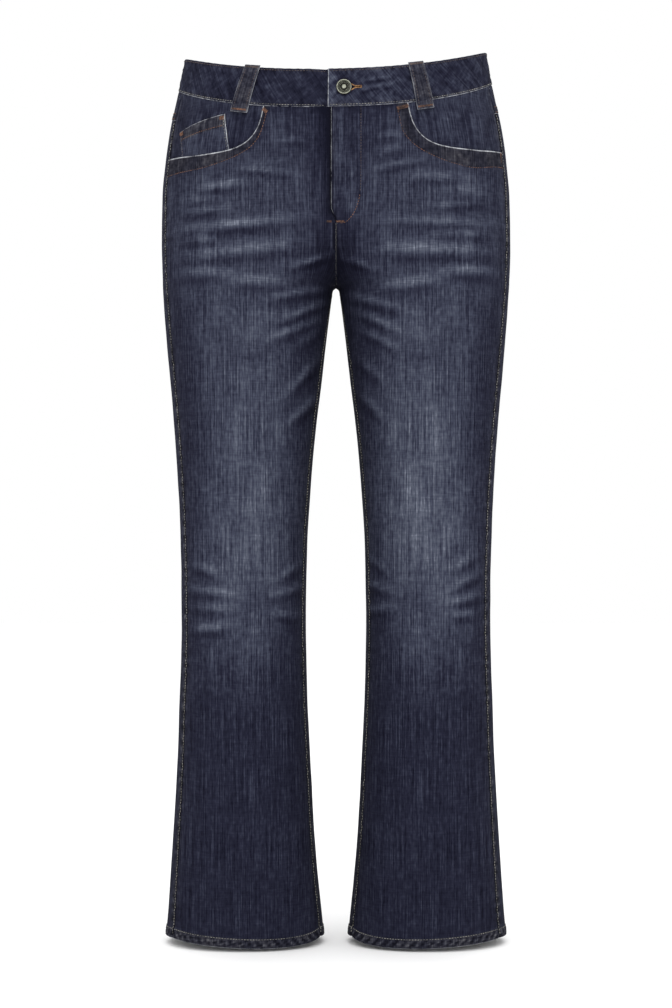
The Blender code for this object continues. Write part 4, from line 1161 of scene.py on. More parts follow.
# %% [markdown]
# ## The legs
#
# Each leg piece is one grid. Its columns crowd together at the seams and its rows at the
# hem, the crotch and the top edge, because that is where small shapes are. In front the
# top edge follows the pocket's mouth and then the waist seam, so the columns are shared
# out along that edge with one of them on its corner.

# %% Grids of the leg pieces
EDGE_COLUMNS = np.array([0, 0.004, 0.009, 0.015, 0.022, 0.030, 0.040])
COLUMNS = np.concatenate([EDGE_COLUMNS, np.linspace(0.052, 0.948, 62), 1 - EDGE_COLUMNS[::-1]])
HEM_ROWS = np.array([0, 0.4, 1.2, 2.4, 3.8, 5.4, 7.0, 8.6, 9.6, 10.5, 11.4, 12.4, 14.0]) / 1000
BELOW_CROTCH, ABOVE_CROTCH, CROWD = 0.062, 0.081, 1.6
LEG_TOP, SIDE_TOP = (-0.332, CROTCH - BELOW_CROTCH), -0.170
LEG_ROWS, NEAR_BELOW, NEAR_ABOVE, TOP_ROWS = 200, 24, 28, 36


def leg_rows(face, high_u, high_z):
    """u and z of every point of a leg piece, hem first."""
    u = COLUMNS
    w = u**CROWD
    hem = hem_height(face, u)
    us, zs = [u] * len(HEM_ROWS), [hem + h for h in HEM_ROWS]
    start = zs[-1]
    goal = LEG_TOP[0] * (1 - w) + LEG_TOP[1] * w
    for s in np.linspace(0, 1, LEG_ROWS)[1:]:
        us.append(u)
        zs.append(start * (1 - s) + goal * s)
    below = -(np.linspace(1, 0, NEAR_BELOW) ** CROWD) * BELOW_CROTCH
    above = np.linspace(0, 1, NEAR_ABOVE)[1:] ** CROWD * ABOVE_CROTCH
    near = np.concatenate([below, above])
    outer = np.linspace(LEG_TOP[0], SIDE_TOP, len(near))
    for a, b in zip(outer[1:], near[1:] + CROTCH):
        us.append(u)
        zs.append(a * (1 - w) + b * w)
    last = zs[-1]
    for s in 1 - np.linspace(1, 0, TOP_ROWS)[1:] ** 1.8:
        us.append(u * (1 - s) + high_u * s)
        zs.append(last * (1 - s) + high_z * s)
    return np.array(us), np.array(zs)


def front_top(side):
    """The top edge of a front piece: pocket mouth, corner, waist seam."""
    mouth = MOUTHS[side]
    mouth_u = u_for("front", side, np.maximum(mouth[:, 0], 1e-5), mouth[:, 1])
    mouth_u[0] = 0.0
    rest = np.linspace(mouth_u[-1], 1.0, 40)[1:]
    us = np.concatenate([mouth_u, rest])
    zs = np.concatenate([mouth[:, 1], on_seam("front", side, rest)])
    points = place("front", side, us, zs)[0]
    run = run_along(points)
    corner = run[len(mouth) - 1]
    split = COLUMNS[np.argmin(np.abs(COLUMNS - corner / run[-1]))]
    at = np.interp(COLUMNS, [0.0, split, 1.0], [0.0, corner, run[-1]])
    return np.interp(at, run, us), np.interp(at, run, zs)


def leg_piece(face, side, name):
    """One leg piece, from its grid to its finished cloth."""
    if face == "front":
        high_u, high_z = front_top(side)
    else:
        high_u, high_z = COLUMNS, yoke_edge(side, COLUMNS)
    u, z = leg_rows(face, high_u, high_z)
    (points, along), normals = place(face, side, u, z), outward(face, side, u, z)
    full = full_run(face, side, z)
    lift, paint = leg_relief(face, side, u, z, points, along, full)
    outer, normals = relaid(points, normals, lift)
    thick = CLOTH + HEM_THICKER * (z - hem_height(face, u) < HEM_TALL)
    inner = outer - normals * thick[..., None]
    flat = np.stack([along - grain(face, side, z), z], axis=-1)
    grids = flanged(outer, inner, normals, flat, paint)
    made = cloth("cloth_" + name, *grids, mats=(DENIM, DENIM_INSIDE))
    declare(made, name, points, flat, HEM_TALL)
    return made


PIECES = {}
SIDES = ((1, "left"), (-1, "right"))
for side, hand in SIDES:
    for face in ("front", "back"):
        PIECES[face, side] = leg_piece(face, side, f"{face}_{hand}")

# %% [markdown]
# ## The yokes
#
# The yoke is what makes jeans fit a hollow back: a shallow wedge of cloth between the
# waistband and the seat. Its lower edge laps over the back leg and is stitched down
# twice, so that edge stands a little proud.

# %% Yokes
YOKE_ROWS = 1 - np.linspace(1, 0, 26) ** 1.4
YOKE_TURNED, YOKE_PITCH, YOKE_SLANT = 0.010, 0.0094, 0.34


def yoke_piece(side, hand):
    """One yoke, lapped over its back leg."""
    u = COLUMNS
    low, high = yoke_edge(side, u), on_seam("back", side, u)
    z = low + (high - low) * YOKE_ROWS[:, None]
    u = np.broadcast_to(u, z.shape)
    points, along = place("back", side, u, z)
    normals = outward("back", side, u, z)
    full = full_run("back", side, z)
    up = z - low
    lap = 1 - smooth((up - LAP_WIDE) / LAP_STEP)
    wave = wobble(turns(along, YOKE_PITCH) + 2 * np.sin(45 * along + side))
    lift = 0.0002 + LAP_PROUD * lap + 0.0003 * wave * hill(up - 0.005, 0.0055)
    lift += sum(groove(up - row) for row in LAP_ROWS) + groove(high - z, 0.0005, 0.0012)
    lift += groove(along, 0.0006, 0.0010) + groove(full - along, 0.0006, 0.0010)
    lift -= 0.0006 * rolled(up, 0.0010)
    outer, normals = relaid(points, normals, lift)
    fade = broad_fade("back", side, points) + lap * (0.15 * wave + 0.05)
    flat = np.stack([along, z * 0.94 + YOKE_SLANT * along], axis=-1)
    paint = {"fade": fade, "rim": up + 0.0003, "strip": 0.7 * lap}
    grids = flanged(outer, outer - normals * CLOTH, normals, flat, paint)
    made = cloth(f"cloth_yoke_{hand}", *grids, mats=(DENIM, DENIM_INSIDE))
    declare(made, f"yoke_{hand}", points, flat, YOKE_TURNED)
    PIECES["yoke", side] = made


for side, hand in SIDES:
    yoke_piece(side, hand)

# %% [markdown]
# ## The waistband
#
# One long strip goes all the way round and laps over itself at the fly, the end with the
# buttonhole on top. So the grid runs once round and then dives under its own start. The
# slit of the buttonhole is cut out of the grid. The strip was cut on a slant, which is
# why its streaks run aslant too.

# %% Points round the waist
BAND_PROUD, BAND_THICK, BAND_DIVE = 0.0006, 0.0022, 0.17
BAND_WAVE, BAND_PITCH, BAND_ROLL = 0.0005, 0.0115, 0.0010
BAND_HEAD_ROW, BAND_FOOT_ROW, ROW_SUNK = 0.0024, 0.0020, 0.0002
CREASED_RUN, HIP_RADIUS = 0.2, 0.18
LAP_END_X, UNDERLAP_END_X, BUTTON_X = -0.0088, 0.0300, 0.0088
BUTTON_HIGH = -0.0540
HOLE = (-0.0035, 0.0035, 0.0185)
HOLE_HALF = (0.0035, 0.0007)
BAND_TALL = BAND_SIDE + BAND_FRONT_MORE
BAND_SLANT = math.radians(38)


def ring(angle, z):
    """Points round the hips, angle 0 at the wearer's left and a quarter turn in front."""
    outer, _, _, front, back, middle, power = level(np.ravel(z))
    a = np.ravel(angle)
    r = radius(a, outer, np.where(np.sin(a) > 0, front, back), power)
    points = np.stack([r * np.cos(a), middle - r * np.sin(a), np.ravel(z)], axis=-1)
    return points.reshape(np.shape(z) + (3,))


def angle_for_x(x, z=BUTTON_HIGH):
    """The angle at which the front of the waist is this far out."""
    a = math.pi / 2 - x / HIP_RADIUS
    for _ in range(8):
        a += (ring(np.array([a]), np.array([z]))[0, 0] - x) / HIP_RADIUS
    return a


def band_point(angle, share):
    """Share 0 is the band's lower seam and 1 its top edge."""
    low, high = np.full(np.shape(angle), -0.05), np.full(np.shape(angle), -0.01)
    for _ in range(5):
        low, high = waist_seam(ring(angle, low)), waist_top(ring(angle, high))
    return ring(angle, low + (high - low) * share)


def band_spot(angle, share, lift=0.0):
    """A point on the band's face, with the way out of it."""
    angle, share = np.broadcast_arrays(np.asarray(angle, float), np.asarray(share, float))
    across = band_point(angle + 0.01, share) - band_point(angle - 0.01, share)
    up = band_point(angle, share + 0.05) - band_point(angle, share - 0.05)
    out = unit(np.cross(up, across))
    points = band_point(angle, share)
    out *= np.sign((out * points * (1, 1, 0)).sum(-1, keepdims=True))
    return points + out * np.asarray(lift)[..., None], out


print("waist", round(2 * band_point(np.array([0.0]), np.array([1.0]))[0, 0] * 1000), "mm wide")

# %% The band itself
BAND_SHARES = np.array([0, 0.01, 0.025, 0.045, 0.07, 0.10, 0.14, 0.19, 0.24, 0.29, 0.34, 0.38])


def waistband():
    """The band, with its buttonhole, its two ends and its soft ripples."""
    start, stop = angle_for_x(LAP_END_X), angle_for_x(UNDERLAP_END_X) - 2 * math.pi
    hole = [angle_for_x(BUTTON_X + d) for d in HOLE]
    angles = np.concatenate([
        start - (start - hole[0]) * np.array([0, 0.03, 0.08, 0.16, 0.3, 0.5, 0.75]),
        np.linspace(hole[0], hole[1], 5)[:-1],
        np.linspace(hole[1], hole[2], 7)[:-1],
        np.linspace(hole[2], stop, 330),
    ])
    beside = np.array(HOLE_HALF) / BAND_TALL
    middle = 0.5 + np.concatenate([-beside, beside[::-1]])
    shares = np.concatenate([BAND_SHARES, middle, 1 - BAND_SHARES[::-1]])
    a, s = np.meshgrid(angles, shares)
    points, normals = band_spot(a, s)
    run = run_along(points[10])
    run = np.broadcast_to(run, s.shape)
    sunk_from = angle_for_x(LAP_END_X - 0.0040) - 2 * math.pi
    sunk = smooth(1 - (a - sunk_from) / BAND_DIVE)
    foot, head = s * BAND_TALL, (1 - s) * BAND_TALL
    edge = np.minimum(foot, head)
    near = hill(edge, 0.007)
    near_fly = run < CREASED_RUN
    wave = wobble(turns(run, BAND_PITCH) + 2.5 * np.sin(23 * run))
    slack = wobble(turns(run + foot, 0.031) + 1.5 * np.sin(40 * run))
    slack += wobble(turns(run + foot, 0.019)) * wobble(turns(run - foot, 0.017))
    lift = BAND_WAVE * wave * near + BAND_WAVE * slack * smooth(edge / 0.01)
    # the band's creases: wear on their ridges, with painted shade in their troughs
    ridges, rubbed = (values * near_fly for values in creases(BAND_CREASES, 1, points))
    lift += ridges
    lift += groove(head - BAND_HEAD_ROW, ROW_SUNK) + groove(foot - BAND_FOOT_ROW, ROW_SUNK)
    round_off = BAND_ROLL * rolled(edge, 0.0016)
    outer = points + normals * (BAND_PROUD + lift - round_off)[..., None]
    outer -= normals * ((BAND_THICK + SEAM_GAP + 0.0004) * sunk)[..., None]
    inner = outer - normals * (BAND_THICK - 1.7 * round_off)[..., None]
    keep = np.ones((len(shares) - 1, len(angles) - 1), bool)
    eye, slit, after = (int(np.argmin(np.abs(angles - h))) for h in hole)
    row = len(BAND_SHARES)
    keep[row : row + 3, eye:slit] = False
    keep[row + 1, slit:after] = False
    c, d = math.cos(BAND_SLANT), math.sin(BAND_SLANT)
    flat = np.stack([run, foot], axis=-1)
    slant = np.stack([run * c + foot * d, foot * c - run * d], axis=-1)
    lap = np.minimum(run, 0.05)
    fade = 0.20 - 0.12 * smooth((run - 0.6) / 0.1) + 0.14 * slack
    # painted shadow: a dark ring on the band round the button's edge
    from_button = np.hypot(points[..., 0] - BUTTON_X, points[..., 2] - BUTTON_HIGH)
    fade -= 0.5 * near_fly * hill(from_button - 0.0092, 0.0012)
    fade += 0.16 * wave * near
    fade += 0.35 * hill(lap, 0.009) + 0.14 * hill(run - 0.05, 0.03)
    rim = np.minimum(np.minimum(foot + 0.0003, lap + 0.0002), head + 0.0008)
    paint = {"fade": fade, "ridge": rubbed, "rim": rim}
    paint["strip"] = 0.25 * hill(edge, 0.005, 4)
    made = cloth("cloth_waistband", outer, inner, slant, paint, keep, (DENIM_BAND, DENIM_BAND))
    declare(made, "waistband", points, flat)
    PIECES["band"] = made


waistband()

# %% [markdown]
# ## Belt loops
#
# A loop is a strip folded in three, stitched down both sides and tacked at both ends. It
# bridges the band, so it touches only at its ends. Its folded sides are round and rub
# pale, and its middle is a shallow valley.

# %% Belt loops
LOOP_WIDE, LOOP_THICK, LOOP_BELOW, LOOP_ABOVE = 0.0165, 0.0017, 0.0080, 1.035
LOOP_TURNED, LOOP_ROWS = 0.012, (-0.355, 0.355)
LOOPS = (
    # name, top_angle, foot_angle
    ("loop_front_left", 46.0, 44.4),
    ("loop_front_right", 135.4, 138.6),
    ("loop_side_left", -38.0, -38.0),
    ("loop_side_right", 218.0, 218.0),
    ("loop_back", -90.0, -90.0),
)
LOOP_STATIONS = np.array([0.0, 0.10, 0.22, 0.60, 0.92, 1.0])
LOOP_LIFTS = np.array([0.0007, 0.0008, 0.0016, 0.0024, 0.0016, 0.0010])
LOOP_ACROSS = np.array([-1, -0.97, -0.9, -0.78, -0.62, -0.4, 0, 0.4, 0.62, 0.78, 0.9, 0.97, 1]) / 2


def loop_spot(loop, t, across, lift=0.0):
    """A point on a loop's face: t runs from its foot, 0, to its top, 1."""
    _, top, foot = loop
    t, across = np.broadcast_arrays(np.asarray(t, float), np.asarray(across, float))
    size = np.linalg.norm(band_point(np.radians([top]), np.array([0.5]))[0][:2])
    angle = np.radians(foot + (top - foot) * t) - across * LOOP_WIDE / size
    share = -LOOP_BELOW / BAND_SIDE + (LOOP_ABOVE + LOOP_BELOW / BAND_SIDE) * t
    bridge = through(LOOP_STATIONS, LOOP_LIFTS, t)
    points, out = band_spot(angle, share)
    height = bridge + LOOP_THICK + np.asarray(lift)
    return points + out * height[..., None], out


def belt_loop(loop):
    """One belt loop, with both sides folded under and both ends tacked."""
    t = np.concatenate([[0, 0.01, 0.025, 0.045], np.linspace(0.07, 0.93, 34), [0.96, 0.985, 1]])
    across, t = np.meshgrid(LOOP_ACROSS, t)
    side = (0.5 - np.abs(across)) * LOOP_WIDE
    tall = t * (BAND_SIDE * LOOP_ABOVE + LOOP_BELOW)
    end = np.minimum(tall, tall.max() - tall)
    wave = wobble(turns(tall, 0.0052) + 9 * across + float(loop[1]))
    lift = -0.0006 * rolled(side, 0.0013) - 0.0003 * smooth(side / 0.004 - 0.6)
    lift += 0.0001 * wave + groove(side - 0.0024, ROW_SUNK)
    lift -= 0.0005 * rolled(end, 0.0012)
    outer, out = loop_spot(loop, t, across, lift)
    thick = LOOP_THICK + lift * 1.7
    flat = np.stack([across * LOOP_WIDE, tall], axis=-1)
    fade = 0.36 + 0.20 * wave + 0.30 * hill(end - 0.003, 0.004)
    fade += 0.22 * hill(side - 0.0012, 0.0012) - 0.15 * hill(side / 0.005 - 0.7, 1)
    paint = {"fade": fade, "rim": np.minimum(side, end) + 0.0007, "strip": 0.85}
    name = loop[0]
    made = cloth("cloth_" + name, outer, outer - out * thick[..., None], flat, paint,
                 mats=(DENIM, DENIM))
    declare(made, name, outer, flat, LOOP_TURNED)
    PIECES[name] = made


for loop in LOOPS:
    belt_loop(loop)

# %% [markdown]
# ## Inside the pocket mouths
#
# What shows inside each scooped mouth isn't the pocket bag but its facing: a piece of the
# same denim sewn to the bag. It lies a few millimetres back, and meets the front leg at
# the waist seam and the outseam. The coin pocket is a patch on the wearer's right facing,
# whose lower end runs down behind the mouth.

# %% Facings
FACING_OUT, FACING_AT_SEAM, FACING_BELOW = -0.0031, -0.0004, 0.0160


def facing_depth(side, u, z, along):
    """How far back the facing lies: it rises to the front leg's face at both seams."""
    seam = on_seam("front", side, u) - z
    away = smooth(seam / 0.010) * smooth((along + 0.001) / 0.009)
    return FACING_AT_SEAM + (FACING_OUT - FACING_AT_SEAM) * away


def facing(side, hand):
    """The piece that shows inside a pocket mouth."""
    mouth = MOUTHS[side]
    mouth_u = u_for("front", side, np.maximum(mouth[:, 0], 1e-5), mouth[:, 1])
    reach = mouth_u[-1] + 0.050
    u = reach * np.concatenate([[0, 0.01, 0.025, 0.045], np.linspace(0.07, 1, 56)])
    high = on_seam("front", side, u)
    low = np.interp(u, mouth_u, mouth[:, 1]) - FACING_BELOW
    beyond = u > 0.78 * mouth_u[-1]
    low[beyond] = np.minimum(low[beyond], low[~beyond][-1] + 0.010)
    z = low + (high - low) * np.linspace(0, 1, 40)[:, None]
    u = np.broadcast_to(u, z.shape)
    points, along = place("front", side, u, z)
    normals = outward("front", side, u, z)
    wave = wobble(turns(along, 0.047) + 40 * z) * wobble(70 * z + 1)
    lift = facing_depth(side, u, z, along) + 0.0003 * wave
    near = hill(along, 0.005)
    lift += 0.0003 * near * wobble(turns(z, 0.0088)) + groove(along, 0.0005, 0.001)
    outer, _ = relaid(points, normals, lift)
    flat = np.stack([along, z], axis=-1)
    fade = (0.22 if side == 1 else 0.08) + 0.16 * wave + 0.10 * near
    fade += 0.15 * hill(z - high, 0.010)
    fade += 0.45 * hill(along - 0.0048 - 0.0008 * wave, 0.0011)
    paint = {"fade": fade, "rim": RUB_FAR, "strip": 0.5 * hill(along, 0.006, 4)}
    made = cloth(f"cloth_facing_{hand}", outer, outer - normals * CLOTH, flat, paint,
                 mats=(DENIM_POCKET, DENIM_INSIDE))
    name = f"facing_{hand}"
    declare(made, name, points, flat)
    PIECES["facing", side] = made


for side, hand in SIDES:
    facing(side, hand)

# %% [markdown]
# The coin pocket is a patch with a turned hem at its mouth. It is laid out from its four
# corners, since its sides are neither level nor upright.

# %% Coin pocket
COIN_LIFT, COIN_WIDE, COIN_TALL, COIN_TURNED = 0.0003, 0.065, 0.044, 0.012
COIN_ROW, COIN_SIDE_ROW = 0.0115, 0.0022
COIN = {
    # corner: along_cloth, height
    "outer_foot": (0.0295, -0.1330),
    "inner_foot": (0.0955, -0.1290),
    "inner_top": (0.0815, -0.0800),
    "outer_top": (0.0175, -0.0945),
}


def coin_spot(across, up, lift=0.0):
    """A point on the coin pocket: across 0 is its outer side, up 1 its mouth."""
    across, up = np.broadcast_arrays(np.asarray(across, float), np.asarray(up, float))
    corner = {k: np.array(v) for k, v in COIN.items()}
    a, b = across[..., None], up[..., None]
    low = corner["outer_foot"] * (1 - a) + corner["inner_foot"] * a
    high = corner["outer_top"] * (1 - a) + corner["inner_top"] * a
    flat = low * (1 - b) + high * b
    bow = 0.0012 * np.sin(math.pi * across) * up
    along, z = flat[..., 0], flat[..., 1] + bow
    u = u_for("front", -1, along, z)
    points, out = spot_on("front", -1, u, z)
    depth = FACING_OUT + SEAM_GAP + COIN_LIFT + CLOTH
    return points + out * (depth + np.asarray(lift))[..., None], out, flat


def coin_pocket():
    """The small patch on the wearer's right facing."""
    edge = np.array([0, 0.008, 0.018, 0.032, 0.05])
    across = np.concatenate([edge, np.linspace(0.08, 0.92, 30), 1 - edge[::-1]])
    a, b = np.meshgrid(across, np.concatenate([np.linspace(0, 0.9, 26), 1 - edge[::-1] * 1.6]))
    side, head = np.minimum(a, 1 - a) * COIN_WIDE, (1 - b) * COIN_TALL
    hem = 1 - smooth((head - 0.0125) / 0.001)
    wave = wobble(turns(a * COIN_WIDE, 0.0098) + 2)
    lift = 0.0006 * hem + 0.0003 * wave * hem
    lift += groove(head - COIN_ROW) + groove(side - COIN_SIDE_ROW)
    lift += 0.0003 * wobble(turns(b * COIN_TALL, 0.0092)) * hill(side, 0.004)
    lift -= 0.0006 * rolled(np.minimum(side, head), 0.0011)
    outer, out, flat = coin_spot(a, b, lift)
    fade = 0.34 + 0.12 * wave * hem + 0.18 * hill(side, 0.003)
    rim = np.minimum(side, head) + 0.0002
    paint = {"fade": fade, "rim": rim, "strip": 0.9 * hem}
    made = cloth("cloth_coin_pocket", outer, outer - out * CLOTH, flat, paint,
                 mats=(DENIM, DENIM_INSIDE))
    declare(made, "coin_pocket", outer, flat, COIN_TURNED)
    PIECES["coin"] = made


coin_pocket()

# %% [markdown]
# ## Back pockets
#
# Two patches, bare of any stitched design: a turned hem at the mouth, and two rows of
# stitches down the sides and along the pointed foot. The pocket stands a little off the
# seat at its foot, as it does on any pair that has been sat in.

# %% Back pockets
BACK_POCKET = np.array([
    # down_from_yoke, half_width
    (0.014, 0.0780),
    (0.030, 0.0775),
    (0.054, 0.0755),
    (0.084, 0.0735),
    (0.114, 0.0710),
    (0.132, 0.0480),
    (0.145, 0.0120),
])
BACK_POCKET_MIDDLE, BACK_POCKET_LIFT, BACK_POCKET_FOOT_LIFT = 0.50, 0.0010, 0.0022
POCKET_GROOVES, POCKET_MOUTH_ROW, POCKET_TURNED = (0.0020, 0.0082), 0.0140, 0.015


def pocket_spot(side, down, across, lift=0.0):
    """A point on a back pocket, down from the yoke and across in half widths."""
    down, across = np.broadcast_arrays(np.asarray(down, float), np.asarray(across, float))
    top = yoke_edge(side, np.array([BACK_POCKET_MIDDLE]))[0]
    half = np.interp(down, BACK_POCKET[:, 0], BACK_POCKET[:, 1])
    z = top - down
    full = full_run("back", side, z)
    u = BACK_POCKET_MIDDLE + across * half / full
    points, out = spot_on("back", side, u, z)
    part = (down - BACK_POCKET[0, 0]) / (BACK_POCKET[-1, 0] - BACK_POCKET[0, 0])
    stand = BACK_POCKET_LIFT + (BACK_POCKET_FOOT_LIFT - BACK_POCKET_LIFT) * part + CLOTH
    flat = np.stack([across * half, -down], axis=-1)
    return points + out * (stand + np.asarray(lift))[..., None], out, flat


def pocket_outline():
    """The outline of a back pocket in the flat."""
    right = np.stack([BACK_POCKET[:, 1], -BACK_POCKET[:, 0]], axis=-1)
    return np.concatenate([right, (right * (-1, 1))[::-1]])


def back_pocket(side, hand):
    """One back pocket, standing off the seat."""
    edge = np.array([0, 0.010, 0.022, 0.038, 0.06])
    across = np.concatenate([edge - 1, np.linspace(-0.9, 0.9, 34), 1 - edge[::-1]])
    down = np.linspace(BACK_POCKET[-1, 0], BACK_POCKET[0, 0], 60)
    down = np.concatenate([down[:-1], BACK_POCKET[0, 0] + np.array([0.0013, 0.0006, 0])])
    a, d = np.meshgrid(across, down)
    flat = pocket_spot(side, d, a)[2]
    far, run, _ = nearest(pocket_outline(), flat[..., 0], flat[..., 1])
    head = d - BACK_POCKET[0, 0]
    edge = np.minimum(far, head)
    hem = 1 - smooth((head - 0.0150) / 0.001)
    wave = wobble(turns(run, 0.0098) + side)
    near = hill(far - 0.004, 0.005)
    lift = 0.0005 * hem + 0.0003 * wave * near
    for row in POCKET_GROOVES:
        lift += groove(far - row)
    lift += groove(head - POCKET_MOUTH_ROW) - 0.0007 * rolled(edge, 0.0013)
    lift += 0.0006 * wobble(22 * a + 60 * d + side) * wobble(50 * d) * smooth(edge / 0.03)
    outer, out, flat = pocket_spot(side, d, a, lift)
    fade = 0.42 - 0.15 * hill(far, 0.02) + 0.22 * wave * near
    paint = {"fade": fade, "rim": edge + 0.0002, "strip": 0.6 * np.maximum(hem, near)}
    name = f"back_pocket_{hand}"
    made = cloth("cloth_" + name, outer, outer - out * CLOTH, flat, paint,
                 mats=(DENIM, DENIM_INSIDE))
    declare(made, name, outer, flat, POCKET_TURNED)
    PIECES["pocket", side] = made


for side, hand in SIDES:
    back_pocket(side, hand)

# %% [markdown]
# ## Behind the fly
#
# The zip and the shield that backs it are covered by the lap, yet they close the gap in
# it and show from inside. The shield is denim; the tape is a twill ribbon.

# %% Fly shield and zip tape
ZIP_OUT, ZIP_HALF, ZIP_UP = -0.0036, 0.0155, 0.020
SHIELD_RIGHT, SHIELD_LEFT, SHIELD_UP = -0.0200, 0.0260, 0.012


def behind_fly(x_low, x_high, up, columns, rows):
    """A grid across the centre front, from above the fly's foot to the waist seam."""
    xs = np.linspace(x_low, x_high, columns)
    angles = np.array([angle_for_x(x, -0.12) for x in xs])
    high = np.full(columns, -0.07)
    for _ in range(5):
        high = waist_seam(ring(angles, high))
    low = FLY_FOOT + up
    z = low + (high - 3 * SEAM_GAP - low) * np.linspace(0, 1, rows)[:, None]
    points = ring(np.broadcast_to(angles, z.shape), z)
    out = relaid(points, unit(points * (1, 1, 0)), np.zeros(z.shape))[1]
    return points, out, np.stack([np.broadcast_to(xs, z.shape), z], axis=-1)


def strip_behind(name, node, reach, lift, mats):
    """The shield or the tape behind the fly."""
    points, out, flat = behind_fly(*reach, 24, 60)
    edge = np.minimum(flat[..., 0] - reach[0], reach[1] - flat[..., 0])
    wave = 0.0002 * wobble(130 * flat[..., 1]) * smooth(edge / 0.004)
    outer = points + out * (lift + wave - 0.0003 * np.exp(-edge / 0.001))[..., None]
    paint = {"fade": 0.30, "rim": edge + 0.0008, "strip": 0.3}
    made = cloth(name, outer, outer - out * CLOTH, flat, paint, mats=mats)
    declare(made, node, points, flat)


TAPE = Paint("zip tape", Base_Color=(0.020, 0.022, 0.030, 1), Roughness=0.8)
TAPE = TAPE.material
strip_behind("cloth_fly_shield", "fly_shield", (SHIELD_RIGHT, SHIELD_LEFT, SHIELD_UP),
             ZIP_OUT - CLOTH - SEAM_GAP, (DENIM, DENIM_INSIDE))
strip_behind("cloth_fly_tape", "fly_zip", (-ZIP_HALF, ZIP_HALF, ZIP_UP), ZIP_OUT, (TAPE, TAPE))

# %% [markdown]
# ## Metal
#
# The button, the zip's teeth and its slider are one alloy, plated and then tumbled until
# the plating aged: bright where it rubs, greenish brown in each hollow.

# %% Aged plating
BRIGHT = (0.24, 0.245, 0.20, 1.0)
TARNISH = (0.014, 0.015, 0.012, 1.0)


def plating():
    """Metal that is bright on its ridges and stained in its hollows."""
    paint = Paint("aged plating", Metallic=0.9)
    x, y, z = paint.split(paint.node("ShaderNodeTexCoord", out="Object"))
    stain = paint.noise(x * 700.0, y * 700.0, z * 700.0, 3.0)
    scratch = paint.noise(x * 4000.0, y * 500.0, z * 900.0)
    deep = paint.number("hollow")
    dull = (deep * 1.3 + (stain - 0.45) * 1.9 + (scratch - 0.5) * 0.5).clamp()
    colour = paint.mix(dull, BRIGHT, TARNISH)
    return paint.finish(colour, 0.34 + dull * 0.4, stain + scratch, 0.00008, 0.5)


PLATING = plating()
print("plating ready")

# %% [markdown]
# The button is turned from a disc: each inset of its top face, with a small step up or
# down, makes one more ring. A row of tiny beads fills its channel, modelled once and
# copied round.

# %% Waist button
BUTTON_WIDE = 0.0174
RINGS = (
    # inset, rise
    (0.0006, 0.0006),
    (0.0008, 0.0002),
    (0.0004, -0.0008),
    (0.0016, 0.0000),
    (0.0004, 0.0004),
    (0.0006, 0.0000),
    (0.0004, -0.0004),
    (0.0012, 0.0001),
    (0.0004, 0.0005),
    (0.0007, 0.0002),
)
BEADS, BEAD_AT, BEAD_HIGH, BEAD_SIZE = 28, 0.00610, 0.0014, 0.00050
CAP_THICK, CAP_EDGE = 0.0012, 0.00016
SHANK, TACK_HEAD = (0.0019, 20), (0.0045, 32)
# How dark the plating is at each height of the face, and in the ring round its middle.
HOLLOW_HEIGHTS, HOLLOW_DARK = (0.0009, 0.0013, 0.0019), (0.95, 0.75, 0.0)
HOLLOW_RING, HOLLOW_RING_WIDE = 0.0036, 0.0010


def alone(piece):
    """Makes one piece the only one selected."""
    bpy.ops.object.select_all(action="DESELECT")
    piece.select_set(True)
    bpy.context.view_layer.objects.active = piece


def disc(half, deep, high, sides):
    """A flat cylinder whose foot stands at this height on the z axis."""
    bpy.ops.object.select_all(action="DESELECT")
    bpy.ops.mesh.primitive_cylinder_add(
        vertices=sides, radius=half, depth=deep, location=(0, 0, high + deep / 2)
    )
    bpy.ops.object.transform_apply(location=True, rotation=True, scale=True)
    return bpy.context.object


def turn_cap():
    """The button's cap, with a ring for each inset of its top face."""
    cap = disc(BUTTON_WIDE / 2, CAP_THICK, 0.0, 64)
    top = max(cap.data.polygons, key=lambda face: face.center.z)
    for part in (cap.data.vertices, cap.data.edges, cap.data.polygons):
        part.foreach_set("select", np.zeros(len(part), bool))
    top.select = True
    bpy.context.tool_settings.mesh_select_mode = (False, False, True)
    bpy.ops.object.mode_set(mode="EDIT")
    for inset, rise in RINGS:
        bpy.ops.mesh.inset(thickness=inset, depth=rise)
    bpy.ops.object.mode_set(mode="OBJECT")
    bevel = cap.modifiers.new("soft edges", "BEVEL")
    bevel.width, bevel.segments, bevel.angle_limit = CAP_EDGE, 2, math.radians(20)
    alone(cap)
    bpy.ops.object.modifier_apply(modifier="soft edges")
    return cap


def beads():
    """The circle of beads in the cap's channel."""
    bpy.ops.object.select_all(action="DESELECT")
    bpy.ops.mesh.primitive_ico_sphere_add(
        subdivisions=2, radius=BEAD_SIZE, location=(BEAD_AT, 0, BEAD_HIGH)
    )
    bpy.ops.object.transform_apply(location=True, rotation=True, scale=True)
    first = bpy.context.object
    copies = [first]
    for k in range(1, BEADS):
        copy = first.copy()
        copy.data = first.data.copy()
        copy.data.transform(Matrix.Rotation(2 * math.pi * k / BEADS, 4, "Z"))
        bpy.context.scene.collection.objects.link(copy)
        copies.append(copy)
    return copies


print(len(RINGS), "rings and", BEADS, "beads")

# %% The button in its place
def as_one(name, parts, finish):
    """Joins parts into one named piece with one finish."""
    alone(parts[0])
    for part in parts:
        part.select_set(True)
    bpy.ops.object.join()
    bpy.ops.object.shade_smooth_by_angle(angle=math.radians(35))
    piece = bpy.context.object
    piece.name = piece.data.name = name
    piece.data.materials.clear()
    piece.data.materials.append(finish)
    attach(piece, "root")
    return piece


